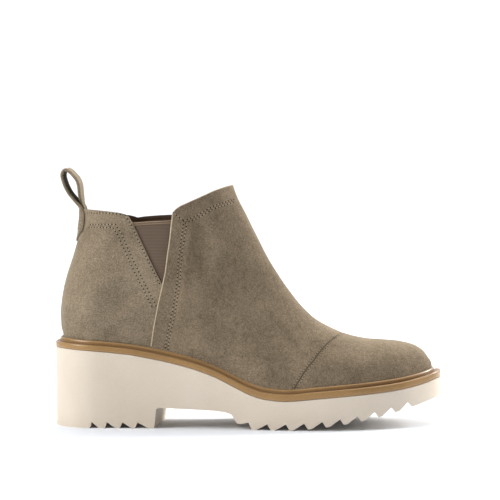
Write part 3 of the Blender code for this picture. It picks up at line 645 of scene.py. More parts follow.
def hump(distance, width):
    """1 at no distance, falling softly to nothing at twice the width."""
    return math.exp(-((distance / width) ** 2))


def beside(crease, x, z):
    """How strongly a crease is felt at a point seen from the side."""
    start = Vector((crease.x0, crease.z0)) * MM
    run = Vector((crease.x1, crease.z1)) * MM - start
    reach = Vector((x, z)) - start
    along = reach.dot(run) / run.length_squared
    past_end = abs(along - min(max(along, 0.0), 1.0)) * run.length
    across = (reach - run * along).length
    return hump(across, crease.width * MM) * hump(past_end, 1.5 * crease.width * MM)


def worn(place):
    """Height of the creases, puffs and grooves at a point of the last."""
    side = -1 if place.y < 0 else 1
    rise = place.z + COLLAR_TILT / LEG_WIDTH * (place.y + LEG_WIDTH / 2)
    height = 0.0
    for crease in CREASES:
        if crease.side in (0, side):
            height += CREASING * crease.depth * MM * beside(crease, place.x, rise)
    ahead = place.x - place_on(PANEL_ROW, rise)
    below_top = height_on(TOP_ROW, place.x) - rise
    puff = PUFF * hump(ahead - PUFF_AHEAD, PUFF_WIDTH)
    puff -= ROW_SINK * hump(ahead + ROW_BACK, ROW_WIDTH)
    height += puff * MM * smooth_step(below_top / TOP_FADE)
    if ahead > -ROWS_APART:
        height -= TOP_SINK * MM * hump(below_top, TOP_WIDTH)
    height *= smooth_step(abs(place.y) / MIDDLE_FADE)
    height -= SEAM_SINK * MM * hump(place.x - place_on(CAP_SEAM, place.z), SEAM_WIDTH)
    return height * smooth_step((place.z - bead_top(place.x) + WELT_START) / WELT_FADE)


LAST_SECTIONS = between_rows(SECTIONS, SECTION_STEPS)
LAST_RINGS = [[Vector(place) for place in section_ring(section)] for section in LAST_SECTIONS]


def rings_between(low, high):
    """The rings of the last that have a point between two places along the boot."""
    kept = []
    for ring in LAST_RINGS:
        xs = [place.x for place in ring]
        if max(xs) >= low and min(xs) <= high:
            kept.append(ring)
    return kept


def grid_sheet(columns, rows, place):
    """A grid whose points go to place(column, row), as a bmesh with its UVs."""
    bm = bmesh.new()
    bm.loops.layers.uv.new("sheet")
    bmesh.ops.create_grid(bm, x_segments=columns, y_segments=rows, size=0.5, calc_uvs=True)
    for vert in bm.verts:
        i = round((vert.co.x + 0.5) * columns)
        j = round((vert.co.y + 0.5) * rows)
        vert.co = place(i, j)
    bmesh.ops.remove_doubles(bm, verts=bm.verts, dist=WELD)
    bmesh.ops.recalc_face_normals(bm, faces=bm.faces)
    return bm


def paint(bm, rows, first, last):
    """Gives the second material to the faces of a grid sheet between two of its rows."""
    across = bm.loops.layers.uv["sheet"]
    for face in bm.faces:
        row = sum(loop[across].uv.y for loop in face.loops) / len(face.loops) * rows
        if first < row < last:
            face.material_index = 1


def linked(obj_name, data):
    obj = bpy.data.objects.new(obj_name, data)
    bpy.context.scene.collection.objects.link(obj)
    return obj


def from_bmesh(name, bm, surfaces, smooth=False):
    mesh = bpy.data.meshes.new(name)
    bm.to_mesh(mesh)
    bm.free()
    for surface in surfaces:
        mesh.materials.append(surface)
    if smooth:
        mesh.shade_smooth()
    return linked(name, mesh)


def new_object(name, bm, surfaces):
    """An object in the frame's own place, from a bmesh in the heel's frame."""
    bmesh.ops.translate(bm, verts=bm.verts, vec=-ORIGIN)
    return from_bmesh(name, bm, surfaces)


def pushed_out(name, corners, push, surfaces):
    """A solid made by pushing a flat face, given by its corners, along a vector."""
    bm = bmesh.new()
    face = bm.faces.new([bm.verts.new(corner) for corner in corners])
    pushed = bmesh.ops.extrude_face_region(bm, geom=[face])["geom"]
    verts = [item for item in pushed if isinstance(item, bmesh.types.BMVert)]
    bmesh.ops.translate(bm, verts=verts, vec=push)
    bmesh.ops.recalc_face_normals(bm, faces=bm.faces)
    return new_object(name, bm, surfaces)


def settled(obj):
    """Keeps the shape that the modifiers give, with smooth faces and crisp edges."""
    graph = bpy.context.evaluated_depsgraph_get()
    shaped = bpy.data.meshes.new_from_object(obj.evaluated_get(graph))
    obj.modifiers.clear()
    obj.data = shaped
    if not shaped.has_custom_normals:
        shaped.shade_smooth()
        shaped.set_sharp_from_angle(angle=math.radians(SHARP_EDGE))
    return obj


def riding(obj, node=None):
    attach(obj, "root")
    if node:
        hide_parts(node)
    return obj


def draped(name, rings, offset, thickness, surfaces, wear=1.0, inside=0):
    """Leather laid over the last: its face stands `offset` off the last."""
    bm = grid_sheet(len(rings) - 1, len(rings[0]) - 1, lambda i, j: rings[i][j])
    if sum(face.normal.y * face.calc_center_median().y for face in bm.faces) < 0:
        bmesh.ops.reverse_faces(bm, faces=bm.faces)
    bm.normal_update()
    moved = [(vert, vert.co + vert.normal * (offset + wear * worn(vert.co))) for vert in bm.verts]
    for vert, place in moved:
        low = sole_line(place.x) + GAP
        vert.co = place
        if vert.is_boundary and place.z < low + FOOT_SNAP:
            vert.co.z = low
    obj = new_object(name, bm, surfaces)
    shell = obj.modifiers.new("thickness", "SOLIDIFY")
    shell.thickness = thickness
    shell.offset = -1
    shell.use_even_offset = False
    shell.material_offset = inside
    return obj


def cut(obj, operation, outline, tilt=COLLAR_TILT, low=-BALL_WIDTH, high=BALL_WIDTH, edge=None):
    """Cuts a piece by an outline seen from the side, from y = low to y = high."""
    slope = tilt / LEG_WIDTH
    raised = slope * (-LEG_WIDTH / 2 - low)
    corners = [(x, low, z + raised) for x, z in outline]
    push = (0, high - low, -slope * (high - low))
    knife = pushed_out("knife", corners, push, [edge or obj.data.materials[0]])
    cutting = obj.modifiers.new(operation.lower(), "BOOLEAN")
    cutting.operation = operation
    cutting.object = knife
    cutting.material_mode = "TRANSFER"
    settled(obj)
    bpy.data.meshes.remove(knife.data)
    return obj


def v_outline(margin=0.0):
    """Side view of the V and of all above the collar, its sides moved out by a margin."""
    back = [side_point(row) for row in COLLAR_BACK]
    back += [side_point(row, -margin) for row in GORE_BACK_EDGE]
    edge = [side_point(row, GAP + margin) for row in panel_edge_by_gore()]
    front = [side_point(row) for row in COLLAR_FRONT if row.share * SOLE_LENGTH > edge[-1][0]]
    return back + edge + front + [(front[-1][0], TALL), (back[0][0], TALL)]


def elastic_outline():
    """Side view of the elastic, tucked under the suede on both sides of the V."""
    back = [side_point(row, -GORE_TUCK) for row in GORE_BACK_EDGE]
    edge = [side_point(row, GORE_TUCK) for row in panel_edge_by_gore()]
    above = [(x, z + COLLAR_TILT) for x, z in (edge[-1], back[0])]
    return back + edge + above


def beyond(line, high, far):
    """Side view of all between a line that runs down and x = far, as an outline."""
    corners = [(far, -HEEL_HEIGHT), (far, high), (line[0][0], high)]
    return corners + line + [(line[-1][0], -HEEL_HEIGHT)]


def ahead_of(line, high):
    return beyond(line, high, SOLE_LENGTH + 2 * TOE_LEDGE)


def behind(line, high):
    return beyond(line, high, -2 * BACK_LEDGE - SIDE_BULGE)


def panel_edge():
    """The front panel's edge from its top down to the sole."""
    line = [side_point(row) for row in reversed(PANEL_EDGE)]
    return [(x, z) for x, z in line if z > EDGE_FOOT[0][1] + MM] + EDGE_FOOT


def front_collar(rise):
    """The front collar's edge, moved up by rise."""
    edge = [side_point(row) for row in panel_edge_by_gore()][-1]
    line = [side_point(row) for row in COLLAR_FRONT if row.share * SOLE_LENGTH > edge[0]]
    return [(x, z + rise) for x, z in [(edge[0] + GAP, edge[1])] + line]


def shifted(line, forward, down=0.0):
    return [(x + forward, z - down) for x, z in line]


def make_toe_cap(suede, raw):
    rings = rings_between(*CAP_REACH)
    cap = draped("toe_cap", rings, PANEL_STEP, SUEDE + PANEL_STEP, [suede])
    seam = shifted(CAP_SEAM, SEAM_GAP / 2)
    return cut(cap, "INTERSECT", ahead_of(seam, CAP_TOP), tilt=0.0, edge=raw)


def make_front_panel(suede, raw):
    rings = rings_between(*PANEL_REACH)
    panel = draped("front_panel", rings, PANEL_STEP, SUEDE + PANEL_STEP, [suede])
    seam = shifted(CAP_SEAM, -SEAM_GAP / 2)
    cut(panel, "INTERSECT", behind(seam, 2 * TALL), tilt=0.0, edge=raw)
    cut(panel, "INTERSECT", ahead_of(panel_edge(), TALL), edge=raw)
    return cut(panel, "DIFFERENCE", v_outline(), edge=raw)


def make_back_quarter(suede, raw):
    quarter = draped("back_quarter", rings_between(*QUARTER_REACH), 0.0, SUEDE, [suede])
    cut(quarter, "INTERSECT", behind(shifted(panel_edge(), PANEL_OVERLAP), TALL), edge=raw)
    return cut(quarter, "DIFFERENCE", v_outline(), edge=raw)


def make_lining(leather):
    lining = draped("lining", LAST_RINGS[::2], -LINING_DEPTH, LINING, [leather])
    return cut(lining, "DIFFERENCE", v_outline(GORE_TUCK))


def make_elastic(name, offset, thickness, surfaces, low, high):
    """Elastic in the V between y = low and y = high."""
    rings = rings_between(*GORE_REACH)
    # The second material goes on the faces inside the boot: painted shade inside the V.
    piece = draped(name, rings, offset, thickness, surfaces, wear=0.0, inside=1)
    cut(piece, "INTERSECT", elastic_outline(), low=low, high=high)
    return cut(piece, "DIFFERENCE", gore_top_outline(), tilt=GORE_TILT)


def make_gores(elastic, tape, piping, shaded_inside):
    """On each side the elastic, its folded top edge and the piping along the fold."""
    top = [side_point(row) for row in GORE_TOP]
    band = shifted(top, 0.0, -MM) + shifted(top[::-1], 0.0, GORE_BINDING)
    sides = (("lateral", -1, -BALL_WIDTH, 0.0), ("medial", 1, 0.0, BALL_WIDTH))
    for side, facing, low, high in sides:
        name = f"elastic_{side}"
        # The elastic and its fold take the dark lining leather on their faces inside the boot, as
        # painted shade.
        gore = make_elastic(name, -GORE_DEPTH, ELASTIC, [elastic, shaded_inside], low, high)
        riding(gore, f"gore_{side}")
        name = f"elastic_binding_{side}"
        thick = ELASTIC + 2 * BINDING_LIFT
        fold = make_elastic(name, BINDING_LIFT - GORE_DEPTH, thick, [tape, shaded_inside], low, high)
        riding(cut(fold, "INTERSECT", band, tilt=GORE_TILT))
        tree = leather_trees([fold])
        rows = []
        for drop in PIPING_DROPS:
            rows.append(along_line(tree, shifted(top, 0.0, drop), facing, PIPING_PITCH,
                                   GORE_TILT))
        riding(edge_cord(f"elastic_piping_{side}", rows, BINDING_EDGE, piping))


def make_outsole(rubber):
    corners = [(p.x, p.y, -TOOTH_DEPTH) for p in sole_outline()]
    outsole = pushed_out("rubber_sole", corners, (0, 0, 2 * HEEL_HEIGHT), [rubber])
    profile = heel_profile() + waist_profile() + teeth_profile() + top_profile()
    cut(outsole, "INTERSECT", profile, tilt=0.0)
    rounding = outsole.modifiers.new("worn edges", "BEVEL")
    rounding.width = SOLE_BEVEL
    rounding.segments = 2
    rounding.limit_method = "ANGLE"
    rounding.angle_limit = math.radians(SHARP_EDGE)
    rounding.use_clamp_overlap = True
    settled(outsole)
    even = outsole.modifiers.new("even shading", "WEIGHTED_NORMAL")
    even.keep_sharp = True
    even.weight = 100
    return settled(outsole)


def round_section(corners):
    """A section with each corner replaced by two points close to it."""
    made = []
    for i, corner in enumerate(corners):
        here = Vector(corner)
        for other in (Vector(corners[i - 1]), Vector(corners[(i + 1) % len(corners)])):
            away = other - here
            made.append(here + away.normalized() * min(CORNER, away.length * CORNER_SHARE))
    return made


def make_welt(leather, groove):
    """The welt's section swept round the feather outline."""
    feather = feather_outline()
    rings = []
    for i, point in enumerate(feather):
        normal = outward(feather, i)
        ring = []
        for out, up in round_section(welt_section(point.x, ledge(normal))):
            place = point + normal * out
            ring.append(Vector((place.x, place.y, sole_line(place.x) + up)))
        rings.append(ring)
    count, around = len(rings), len(rings[0])
    bm = grid_sheet(count, around, lambda i, j: rings[i % count][j % around])
    # Faces in the groove take the darker leather: painted shade.
    paint(bm, around, *GROOVE_ROWS)
    return settled(new_object("storm_welt", bm, [leather, groove]))


def strap_stations():
    """Middle line of the pull loop from the tab's point to its end inside the collar."""
    collar_rise = COLLAR_BACK[0].rise * UPPER_HEIGHT - COLLAR_TILT / 2
    back_x = back_of_upper(collar_rise)
    collar_z = sole_line(back_x) + collar_rise
    stations = []
    for row in between_rows(TAB, LOOP_STEPS):
        rise = collar_rise - row.drop * TAB_DROP
        thickness = row.thickness * TAB_THICKNESS
        x = back_of_upper(rise) - GAP - thickness / 2
        z = collar_z - row.drop * TAB_DROP
        stations.append(Station(x, z, row.width * TAB_WIDTH, thickness, rise, 1.0))
    top = max(row.up for row in LOOP)
    past_top = False
    for row in between_rows(LOOP, LOOP_STEPS):
        up = row.up * LOOP_HEIGHT
        past_top = past_top or row.up >= top
        free = smooth_step(up / LOOP_FLATTEN)
        width, thickness = TAB_TOP_WIDTH, TAB_THICKNESS
        if past_top:
            width, thickness = END_WIDTH, END_THICKNESS
        thickness += (LOOP_THICKNESS - thickness) * free
        width += (LOOP_WIDTH - width) * free
        x = back_x + row.forward * LOOP_HEIGHT
        stations.append(Station(x, collar_z + up, width, thickness, collar_rise, 1 - free))
    return stations


def strap_point(stations, i, y, out):
    """A point `out` off the strap's middle face at a station, and the normal there."""
    before, after = stations[max(i - 1, 0)], stations[min(i + 1, len(stations) - 1)]
    normal = Vector((after.z - before.z, 0.0, before.x - after.x)).normalized()
    x = stations[i].x + stations[i].bend * round_the_back(y, stations[i].rise)
    return Vector((x, y, stations[i].z)) + normal * out, normal


def strap_section(width, thickness):
    """Cross-section of the strap with rounded edges, as (across, out)."""
    radius = thickness / 2
    flat = width / 2 - radius
    points = []
    for side in (1, -1):
        for n in range(STRAP_STEPS + 1):
            points.append((side * (2 * flat * n / STRAP_STEPS - flat), -side * radius))
        for n in range(1, STRAP_ROUND):
            turn = math.pi * n / STRAP_ROUND
            across = flat + radius * math.sin(turn)
            points.append((side * across, -side * radius * math.cos(turn)))
    return points


def make_pull_loop(suede, inside):
    stations = strap_stations()
    rings = []
    for i, station in enumerate(stations):
        section = strap_section(station.width, station.thickness)
        rings.append([strap_point(stations, i, y, out)[0] for y, out in section])
    around = len(rings[0])
    bm = grid_sheet(len(rings) - 1, around, lambda i, j: rings[i][j % around])
    # The strap's face towards the loop's hole takes the dark suede: painted shade.
    first = STRAP_STEPS + STRAP_ROUND - 1
    paint(bm, around, first, first + STRAP_STEPS + 1)
    bmesh.ops.holes_fill(bm, edges=[edge for edge in bm.edges if edge.is_boundary])
    bmesh.ops.recalc_face_normals(bm, faces=bm.faces)
    return settled(new_object("loop_strap", bm, [suede, inside]))


def strap_rows():
    """Places of the stitches near both edges of the strap, on both its faces."""
    stations = strap_stations()
    rows = []
    for side, face in ((-1, -1), (-1, 1), (1, -1), (1, 1)):
        row, walked, last = [], STRAP_PITCH, None
        for i in range(1, len(stations) - 1):
            y = side * max(stations[i].width / 2 - STRAP_MARGIN, 0.0)
            place, normal = strap_point(stations, i, y, face * stations[i].thickness / 2)
            if last is not None:
                walked += (place - last).length
            if walked >= STRAP_PITCH:
                row.append((place - ORIGIN, normal * face))
                walked = 0.0
            last = place
        rows.append(row)
    return rows


def leather_trees(pieces):
    graph = bpy.context.evaluated_depsgraph_get()
    return [BVHTree.FromObject(piece, graph) for piece in pieces]


def on_leather(trees, x, z, side, tilt):
    """Where a line across the boot first meets the leather on that side, and its normal."""
    slope = tilt / LEG_WIDTH
    far = side * 2 * BALL_WIDTH
    start = Vector((x, far, z - slope * (far + LEG_WIDTH / 2))) - ORIGIN
    heading = Vector((0, -side, side * slope)).normalized()
    best = None
    for tree in trees:
        place, normal, _, distance = tree.ray_cast(start, heading)
        if place is not None and (best is None or distance < best[2]):
            best = (place, normal, distance)
    if best is None or best[0].y * side < -PAST_MIDDLE:
        return None
    return best[0], best[1] if best[1].dot(heading) < 0 else -best[1]


def along_line(trees, line, side, pitch, tilt=COLLAR_TILT, start=0.0):
    """Places a pitch apart where a side line lies on the leather, each with its normal."""
    fine = []
    for (xa, za), (xb, zb) in zip(line, line[1:]):
        count = max(2, int(math.hypot(xb - xa, zb - za) / FINE_STEP))
        fine += [(xa + (xb - xa) * n / count, za + (zb - za) * n / count) for n in range(count)]
    found = []
    walked = pitch * (1 - start)
    last = None
    for x, z in fine + [line[-1]]:
        hit = on_leather(trees, x, z, side, tilt)
        if hit is None:
            continue
        if last is not None:
            walked += (hit[0] - last).length
        if walked >= pitch:
            found.append(hit)
            walked -= pitch
        last = hit[0]
    return [hit for hit in found if hit[0].z > bead_top(hit[0].x + ORIGIN.x)]


def turned_to(place, normal, heading):
    """A place whose X runs along the heading and whose Z is the normal."""
    along = (heading - normal * heading.dot(normal)).normalized()
    across = normal.cross(along)
    turn = Matrix((along, across, normal)).transposed().to_4x4()
    return Matrix.Translation(place) @ turn


def bead(bm, at, size, rings):
    """A stretched ball, its half sizes given along, across and up."""
    matrix = at @ Matrix.Diagonal((*size, 1.0))
    bmesh.ops.create_uvsphere(bm, u_segments=8, v_segments=rings, radius=1.0, matrix=matrix)


def sew(name, rows, share, thread, hole):
    """Threads sunk between pricked holes, along rows of places with normals."""
    threads, holes = bmesh.new(), bmesh.new()
    for row in rows:
        for (a, na), (b, nb) in zip(row, row[1:]):
            length = (b - a).length
            if length <= LONGEST_STITCH:
                at = turned_to((a + b) / 2, (na + nb).normalized(), b - a)
                size = (THREAD_LENGTH * length, share * THREAD_WIDTH, share * THREAD_RISE)
                bead(threads, at, size, 5)
        for n, (place, normal) in enumerate(row):
            other = row[n + 1][0] if n + 1 < len(row) else row[n - 1][0]
            at = turned_to(place + normal * HOLE_DEPTH, normal, other - place)
            # Each hole is a flat near-black bead on the leather: painted shade in the needle hole.
            bead(holes, at, (share * HOLE_LENGTH, share * HOLE_WIDTH, HOLE_DEPTH), 4)
    riding(from_bmesh(f"{name}_threads", threads, [thread], smooth=True))
    riding(from_bmesh(f"{name}_holes", holes, [hole], smooth=True))


def ring_edges(bm, ring):
    pairs = [(ring[k], ring[k - 1]) for k in range(len(ring))]
    return [bm.edges.get(pair) or bm.edges.new(pair) for pair in pairs]


def edge_cord(name, rows, radius, surface, sink=0.0):
    """A thin rounded edge along rows of places with normals."""
    turns = [2 * math.pi * k / EDGE_SIDES for k in range(EDGE_SIDES)]
    section = [Vector((0, radius * math.cos(turn), radius * math.sin(turn))) for turn in turns]
    bm = bmesh.new()
    for row in rows:
        rings = []
        for n, (place, normal) in enumerate(row):
            before, after = row[max(n - 1, 0)][0], row[min(n + 1, len(row) - 1)][0]
            at = turned_to(place - normal * sink, normal, after - before)
            rings.append([bm.verts.new(at @ point) for point in section])
        for ring, following in zip(rings, rings[1:]):
            bmesh.ops.bridge_loops(bm, edges=ring_edges(bm, ring) + ring_edges(bm, following))
    bmesh.ops.holes_fill(bm, edges=[edge for edge in bm.edges if edge.is_boundary])
    bmesh.ops.recalc_face_normals(bm, faces=bm.faces)
    return from_bmesh(name, bm, [surface], smooth=True)


def effect(name, inputs):
    """A node group that makes a shade and a height out of a place and some values."""
    group = bpy.data.node_groups.new(name, "ShaderNodeTree")
    group.interface.new_socket("Vector", in_out="INPUT", socket_type="NodeSocketVector")
    for label, value in inputs.items():
        socket = group.interface.new_socket(label, in_out="INPUT", socket_type="NodeSocketFloat")
        socket.default_value = value
    for label in ("Shade", "Height"):
        group.interface.new_socket(label, in_out="OUTPUT", socket_type="NodeSocketFloat")
    return group, group.nodes.new("NodeGroupInput").outputs


def given_out(group, shade, height):
    leave = group.nodes.new("NodeGroupOutput")
    group.links.new(shade, leave.inputs["Shade"])
    group.links.new(height, leave.inputs["Height"])
    return group


def maths(tree, operation, a, b=0.0, clamp=False):
    node = tree.nodes.new("ShaderNodeMath")
    node.operation = operation
    node.use_clamp = clamp
    for socket, value in zip(node.inputs, (a, b)):
        if isinstance(value, (int, float)):
            socket.default_value = value
        else:
            tree.links.new(value, socket)
    return node.outputs["Value"]


def weighted(tree, *parts):
    """Sum of values, each times its weight."""
    total, *others = [maths(tree, "MULTIPLY", value, weight) for value, weight in parts]
    for other in others:
        total = maths(tree, "ADD", total, other)
    return total


def contrast(tree, value, gain):
    """A value's distance from the middle times a gain, held between 0 and 1."""
    away = maths(tree, "MULTIPLY", maths(tree, "SUBTRACT", value, 0.5), gain)
    return maths(tree, "ADD", away, 0.5, clamp=True)


def noise(tree, entry, scale, detail, roughness):
    node = tree.nodes.new("ShaderNodeTexNoise")
    node.inputs["Detail"].default_value = detail
    node.inputs["Roughness"].default_value = roughness
    tree.links.new(entry["Vector"], node.inputs["Vector"])
    tree.links.new(entry[scale], node.inputs["Scale"])
    return node.outputs["Fac"]


def nap_effect():
    """Suede: fine fibres over swept patches and slow clouds. Shade runs from dark to light."""
    group, entry = effect("suede nap", {"Fibre": 1200.0, "Sweep": 330.0, "Cloud": 42.0})
    fibre = noise(group, entry, "Fibre", 3.0, 0.6)
    sweep = noise(group, entry, "Sweep", 3.0, 0.6)
    cloud = noise(group, entry, "Cloud", 3.0, 0.55)
    mix = weighted(group, (fibre, 0.56), (sweep, 0.18), (cloud, 0.26))
    height = maths(group, "ADD", fibre, maths(group, "MULTIPLY", sweep, 0.8))
    return given_out(group, contrast(group, mix, 3.2), height)


def grain_effect():
    """Smooth leather and rubber: fine pores and slow unevenness."""
    group, entry = effect("grain", {"Pore": 900.0, "Cloud": 40.0})
    pore = noise(group, entry, "Pore", 2.0, 0.5)
    cloud = noise(group, entry, "Cloud", 2.0, 0.5)
    mix = weighted(group, (pore, 0.4), (cloud, 0.6))
    return given_out(group, contrast(group, mix, 2.2), pore)


def waves(tree, length, pitch):
    turns = maths(tree, "DIVIDE", length, pitch)
    return maths(tree, "SINE", maths(tree, "MULTIPLY", turns, 2 * math.pi))


def rib_effect():
    """Elastic webbing: level ribs with a finer thread across them."""
    group, entry = effect("webbing ribs", {"Pitch": 0.001})
    split = group.nodes.new("ShaderNodeSeparateXYZ")
    group.links.new(entry["Vector"], split.inputs["Vector"])
    rib = waves(group, split.outputs["Z"], entry["Pitch"])
    thread = waves(group, split.outputs["X"], maths(group, "MULTIPLY", entry["Pitch"], 0.6))
    both = maths(group, "ADD", rib, maths(group, "MULTIPLY", thread, 0.3))
    level = maths(group, "ADD", maths(group, "MULTIPLY", both, 0.36), 0.5, clamp=True)
    return given_out(group, level, level)


def srgb(colour):
    """Linear colour of an sRGB one given in 0 to 255, with its alpha."""
    made = []
    for value in colour:
        share = value / 255
        made.append(share / 12.92 if share <= 0.04045 else ((share + 0.055) / 1.055) ** 2.4)
    return (*made, 1.0)


# Materials: the pattern that mixes the dark and light colours, then roughness, relief in
# millimetres, specular level, sheen and coat.
FINISHES = table(
    "name pattern dark light roughness relief specular sheen coat",
    ("taupe_suede", "nap", (100, 87, 69), (168, 151, 127), 0.95, 0.14, 0.12, 0.4, 0.0),
    # The front copy of the suede is darker: painted shade on the toe cap and front panel.
    ("taupe_suede_front", "nap", (92, 79, 62), (159, 141, 117), 0.95, 0.14, 0.12, 0.4, 0.0),
    ("raw_suede_edge", "nap", (182, 164, 136), (218, 203, 176), 0.95, 0.10, 0.12, 0.0, 0.0),
    ("dark_lining", "grain", (84, 66, 50), (112, 90, 70), 0.60, 0.05, 0.30, 0.0, 0.0),
    ("brown_elastic", "ribs", (93, 78, 65), (126, 107, 92), 0.85, 0.12, 0.20, 0.0, 0.0),
    ("elastic_tape", "nap", (112, 94, 78), (130, 110, 92), 0.90, 0.05, 0.20, 0.0, 0.0),
    ("elastic_piping", "nap", (150, 128, 102), (184, 160, 132), 0.90, 0.05, 0.20, 0.0, 0.0),
    ("thread", "nap", (160, 144, 120), (190, 174, 150), 0.80, 0.02, 0.20, 0.0, 0.0),
    # Near-black beads for the needle holes: painted shade.
    ("pricked_hole", "grain", (44, 36, 28), (60, 50, 40), 0.95, 0.02, 0.05, 0.0, 0.0),
    ("waxed_welt", "grain", (148, 112, 66), (180, 141, 89), 0.38, 0.03, 0.50, 0.0, 0.5),
    # Darker leather for the welt's groove: painted shade.
    ("welt_groove", "grain", (130, 96, 54), (156, 118, 70), 0.45, 0.03, 0.50, 0.0, 0.2),
    ("cream_rubber", "grain", (225, 210, 190), (234, 220, 202), 0.60, 0.02, 0.30, 0.0, 0.0),
    ("insole_board", "grain", (74, 58, 44), (98, 78, 60), 0.75, 0.04, 0.25, 0.0, 0.0),
    # Dark suede for the pull loop's face towards its hole: painted shade.
    ("loop_inside", "nap", (66, 54, 42), (96, 82, 66), 0.95, 0.10, 0.12, 0.0, 0.0),
)
BLOOM = (215, 200, 175)
SHEEN_ROUGHNESS = 0.45
COAT_ROUGHNESS = 0.25


def finish(row, pattern_group):
    """A Principled material whose colour and relief come from a pattern in Object coordinates."""
    made = bpy.data.materials.new(row.name)
    made.use_nodes = True
    tree = made.node_tree
    shader = tree.nodes["Principled BSDF"]
    coordinates = tree.nodes.new("ShaderNodeTexCoord")
    pattern = tree.nodes.new("ShaderNodeGroup")
    pattern.node_tree = pattern_group
    tree.links.new(coordinates.outputs["Object"], pattern.inputs["Vector"])
    blend = tree.nodes.new("ShaderNodeMix")
    blend.data_type = "RGBA"
    blend.inputs["A"].default_value = srgb(row.dark)
    blend.inputs["B"].default_value = srgb(row.light)
    tree.links.new(pattern.outputs["Shade"], blend.inputs["Factor"])
    tree.links.new(blend.outputs["Result"], shader.inputs["Base Color"])
    bump = tree.nodes.new("ShaderNodeBump")
    bump.inputs["Distance"].default_value = row.relief * MM
    bump.inputs["Strength"].default_value = 1.0
    tree.links.new(pattern.outputs["Height"], bump.inputs["Height"])
    tree.links.new(bump.outputs["Normal"], shader.inputs["Normal"])
    shader.inputs["Roughness"].default_value = row.roughness
    shader.inputs["Specular IOR Level"].default_value = row.specular
    shader.inputs["Sheen Weight"].default_value = row.sheen
    shader.inputs["Sheen Roughness"].default_value = SHEEN_ROUGHNESS
    if row.sheen:
        shader.inputs["Sheen Tint"].default_value = srgb(BLOOM)
    shader.inputs["Coat Weight"].default_value = row.coat
    shader.inputs["Coat Roughness"].default_value = COAT_ROUGHNESS
    return made


# Camera: angles in degrees, the point it looks at, how far away it stands, and what it takes in.
VIEW_TURN = 5.6
VIEW_HEIGHT = 3.2
VIEW_ROLL = -0.5
VIEW_TARGET = Vector((0.0025, 0.0, 0.1201))
VIEW_DISTANCE = 2.0
FRAME_WIDTH = 0.3457

# Lamps in metres and watts.
LAMPS = table(
    "name place target size power",
    ("key", (-1.12, -0.55, 0.85), (-0.03, 0.0, 0.09), (0.7, 0.7), 15.0),
    ("top", (0.1, 0.25, 1.9), (0.0, 0.0, 0.05), (2.2, 1.6), 23.0),
    ("rim", (1.5, 0.9, 0.9), (0.05, 0.0, 0.1), (0.9, 0.9), 40.0),
    ("backdrop", (0.0, 1.5, 2.6), (0.0, 2.7, 0.6), (4.0, 0.8), 58.0),
)
SKY_STRENGTH = 0.1

# Floor: a sweep of paper as (y, z), its half width, and its colours.
SWEEP = ((-4.0, 0.0), (1.6, 0.0), (2.1, 0.05), (2.5, 0.25), (2.8, 0.6), (2.9, 1.1), (2.9, 3.6))
SWEEP_SIDE = 5.0
PAPER = (0.86, 0.89, 0.94, 1.0)
# The paper's faint bluish glow is painted light: it lifts and cools the shadow under the boot.
PAPER_GLOW = (0.84, 0.92, 1.0, 1.0)
GLOW_STRENGTH = 0.015


def turned_towards(direction):
    return direction.to_track_quat("-Z", "Y")


def make_camera():
    turn, height = math.radians(VIEW_TURN), math.radians(VIEW_HEIGHT)
    level = math.cos(height)
    back = Vector((math.sin(turn) * level, -math.cos(turn) * level, math.sin(height)))
    data = bpy.data.cameras.new("photo_camera")
    data.sensor_width = 36.0
    data.lens = data.sensor_width * VIEW_DISTANCE / FRAME_WIDTH
    camera = linked("photo_camera", data)
    camera.location = VIEW_TARGET + back * VIEW_DISTANCE
    roll = Matrix.Rotation(math.radians(VIEW_ROLL), 3, back)
    camera.rotation_euler = (roll @ turned_towards(-back).to_matrix()).to_euler()
    bpy.context.scene.camera = camera


def make_floor():
    """A pale sweep: level under the boot, rising behind it."""
    bm = bmesh.new()
    verts = [bm.verts.new((-SWEEP_SIDE, y, z)) for y, z in SWEEP]
    edges = [bm.edges.new(pair) for pair in zip(verts, verts[1:])]
    pushed = bmesh.ops.extrude_edge_only(bm, edges=edges)["geom"]
    verts = [item for item in pushed if isinstance(item, bmesh.types.BMVert)]
    bmesh.ops.translate(bm, verts=verts, vec=(2 * SWEEP_SIDE, 0.0, 0.0))
    bmesh.ops.recalc_face_normals(bm, faces=bm.faces)
    paper = bpy.data.materials.new("white_paper")
    paper.use_nodes = True
    shader = paper.node_tree.nodes["Principled BSDF"]
    shader.inputs["Base Color"].default_value = PAPER
    shader.inputs["Roughness"].default_value = 0.9
    shader.inputs["Emission Color"].default_value = PAPER_GLOW
    shader.inputs["Emission Strength"].default_value = GLOW_STRENGTH
    floor = from_bmesh("floor", bm, [paper], smooth=True)


def make_studio():
    make_floor()
    make_camera()
    for row in LAMPS:
        lamp = bpy.data.lights.new(row.name, "AREA")
        lamp.shape = "RECTANGLE"
        lamp.size, lamp.size_y = row.size
        lamp.energy = row.power
        obj = linked(row.name, lamp)
        obj.location = row.place
        obj.rotation_euler = turned_towards(Vector(row.target) - obj.location).to_euler()
    world = bpy.data.worlds.new("studio")
    bpy.context.scene.world = world
    world.use_nodes = True
    sky = world.node_tree.nodes["Background"]
    sky.inputs["Color"].default_value = (1.0, 1.0, 1.0, 1.0)
    sky.inputs["Strength"].default_value = SKY_STRENGTH
    bpy.context.scene.view_settings.view_transform = "Standard"


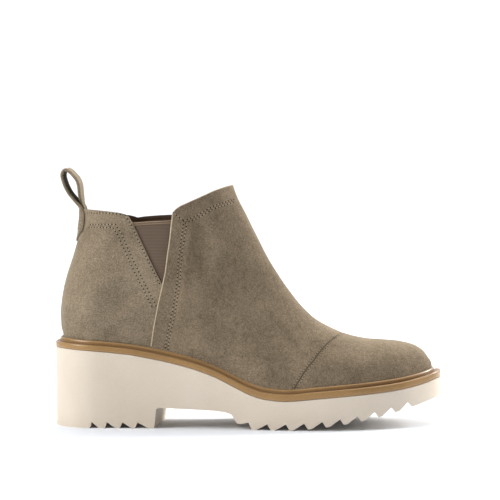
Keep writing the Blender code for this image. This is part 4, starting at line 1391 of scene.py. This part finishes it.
def sew_and_trim(upper, thread, hole, raw):
    """Stitches and raw edges on the suede, and the strap's stitches."""
    trees = leather_trees(upper)
    rows, cap_rows, edges, rims = [], [], [], []
    for side in (-1, 1):
        for apart, start in ((0.0, 0.0), (ROWS_APART, 0.5)):
            for line in (shifted(PANEL_ROW, -apart), shifted(TOP_ROW, 0.0, apart),
                         shifted(QUARTER_ROW, -apart, apart)):
                rows.append(along_line(trees, line, side, STITCH_PITCH, start=start))
        for line in (TACK_ROW, V_ROW, COLLAR_ROW):
            rows.append(along_line(trees, line, side, STITCH_PITCH))
        for shift in (-CAP_ROW_SHIFT, CAP_ROW_SHIFT):
            line = shifted(CAP_SEAM, shift)
            cap_rows.append(along_line(trees, line, side, CAP_PITCH, tilt=0.0))
        edge = shifted(panel_edge(), RAW_AHEAD)
        edges.append(along_line(trees, edge, side, EDGE_PITCH))
        rims.append(along_line(trees, front_collar(-COLLAR_DROP), side, EDGE_PITCH))
    sew("seam", rows, 1.0, thread, hole)
    sew("cap", cap_rows, 0.7, thread, hole)
    sew("loop", strap_rows(), 0.8, thread, hole)
    riding(edge_cord("panel_raw_edge", edges, RAW_EDGE, raw, RAW_SINK))
    riding(edge_cord("collar_raw_edge", rims, COLLAR_EDGE, raw, COLLAR_SINK))


def main():
    patterns = {"nap": nap_effect(), "grain": grain_effect(), "ribs": rib_effect()}
    looks = {row.name: finish(row, patterns[row.pattern]) for row in FINISHES}
    suede, front = looks["taupe_suede"], looks["taupe_suede_front"]
    raw, lining = looks["raw_suede_edge"], looks["dark_lining"]
    # The toe cap and front panel take the darker copy of the suede, as painted shade.
    upper = (make_toe_cap(front, raw), make_front_panel(front, raw), make_back_quarter(suede, raw))
    for piece in upper:
        riding(piece, "upper")
    riding(make_lining(lining), "upper")
    make_gores(looks["brown_elastic"], looks["elastic_tape"], looks["elastic_piping"], lining)
    riding(make_outsole(looks["cream_rubber"]), "outsole")
    riding(make_welt(looks["waxed_welt"], looks["welt_groove"]), "welt")
    riding(make_pull_loop(suede, looks["loop_inside"]), "pull_loop")
    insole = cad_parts["insole"].data.materials
    insole.clear()
    insole.append(looks["insole_board"])
    sew_and_trim(upper, looks["thread"], looks["pricked_hole"], raw)
    make_studio()


main()
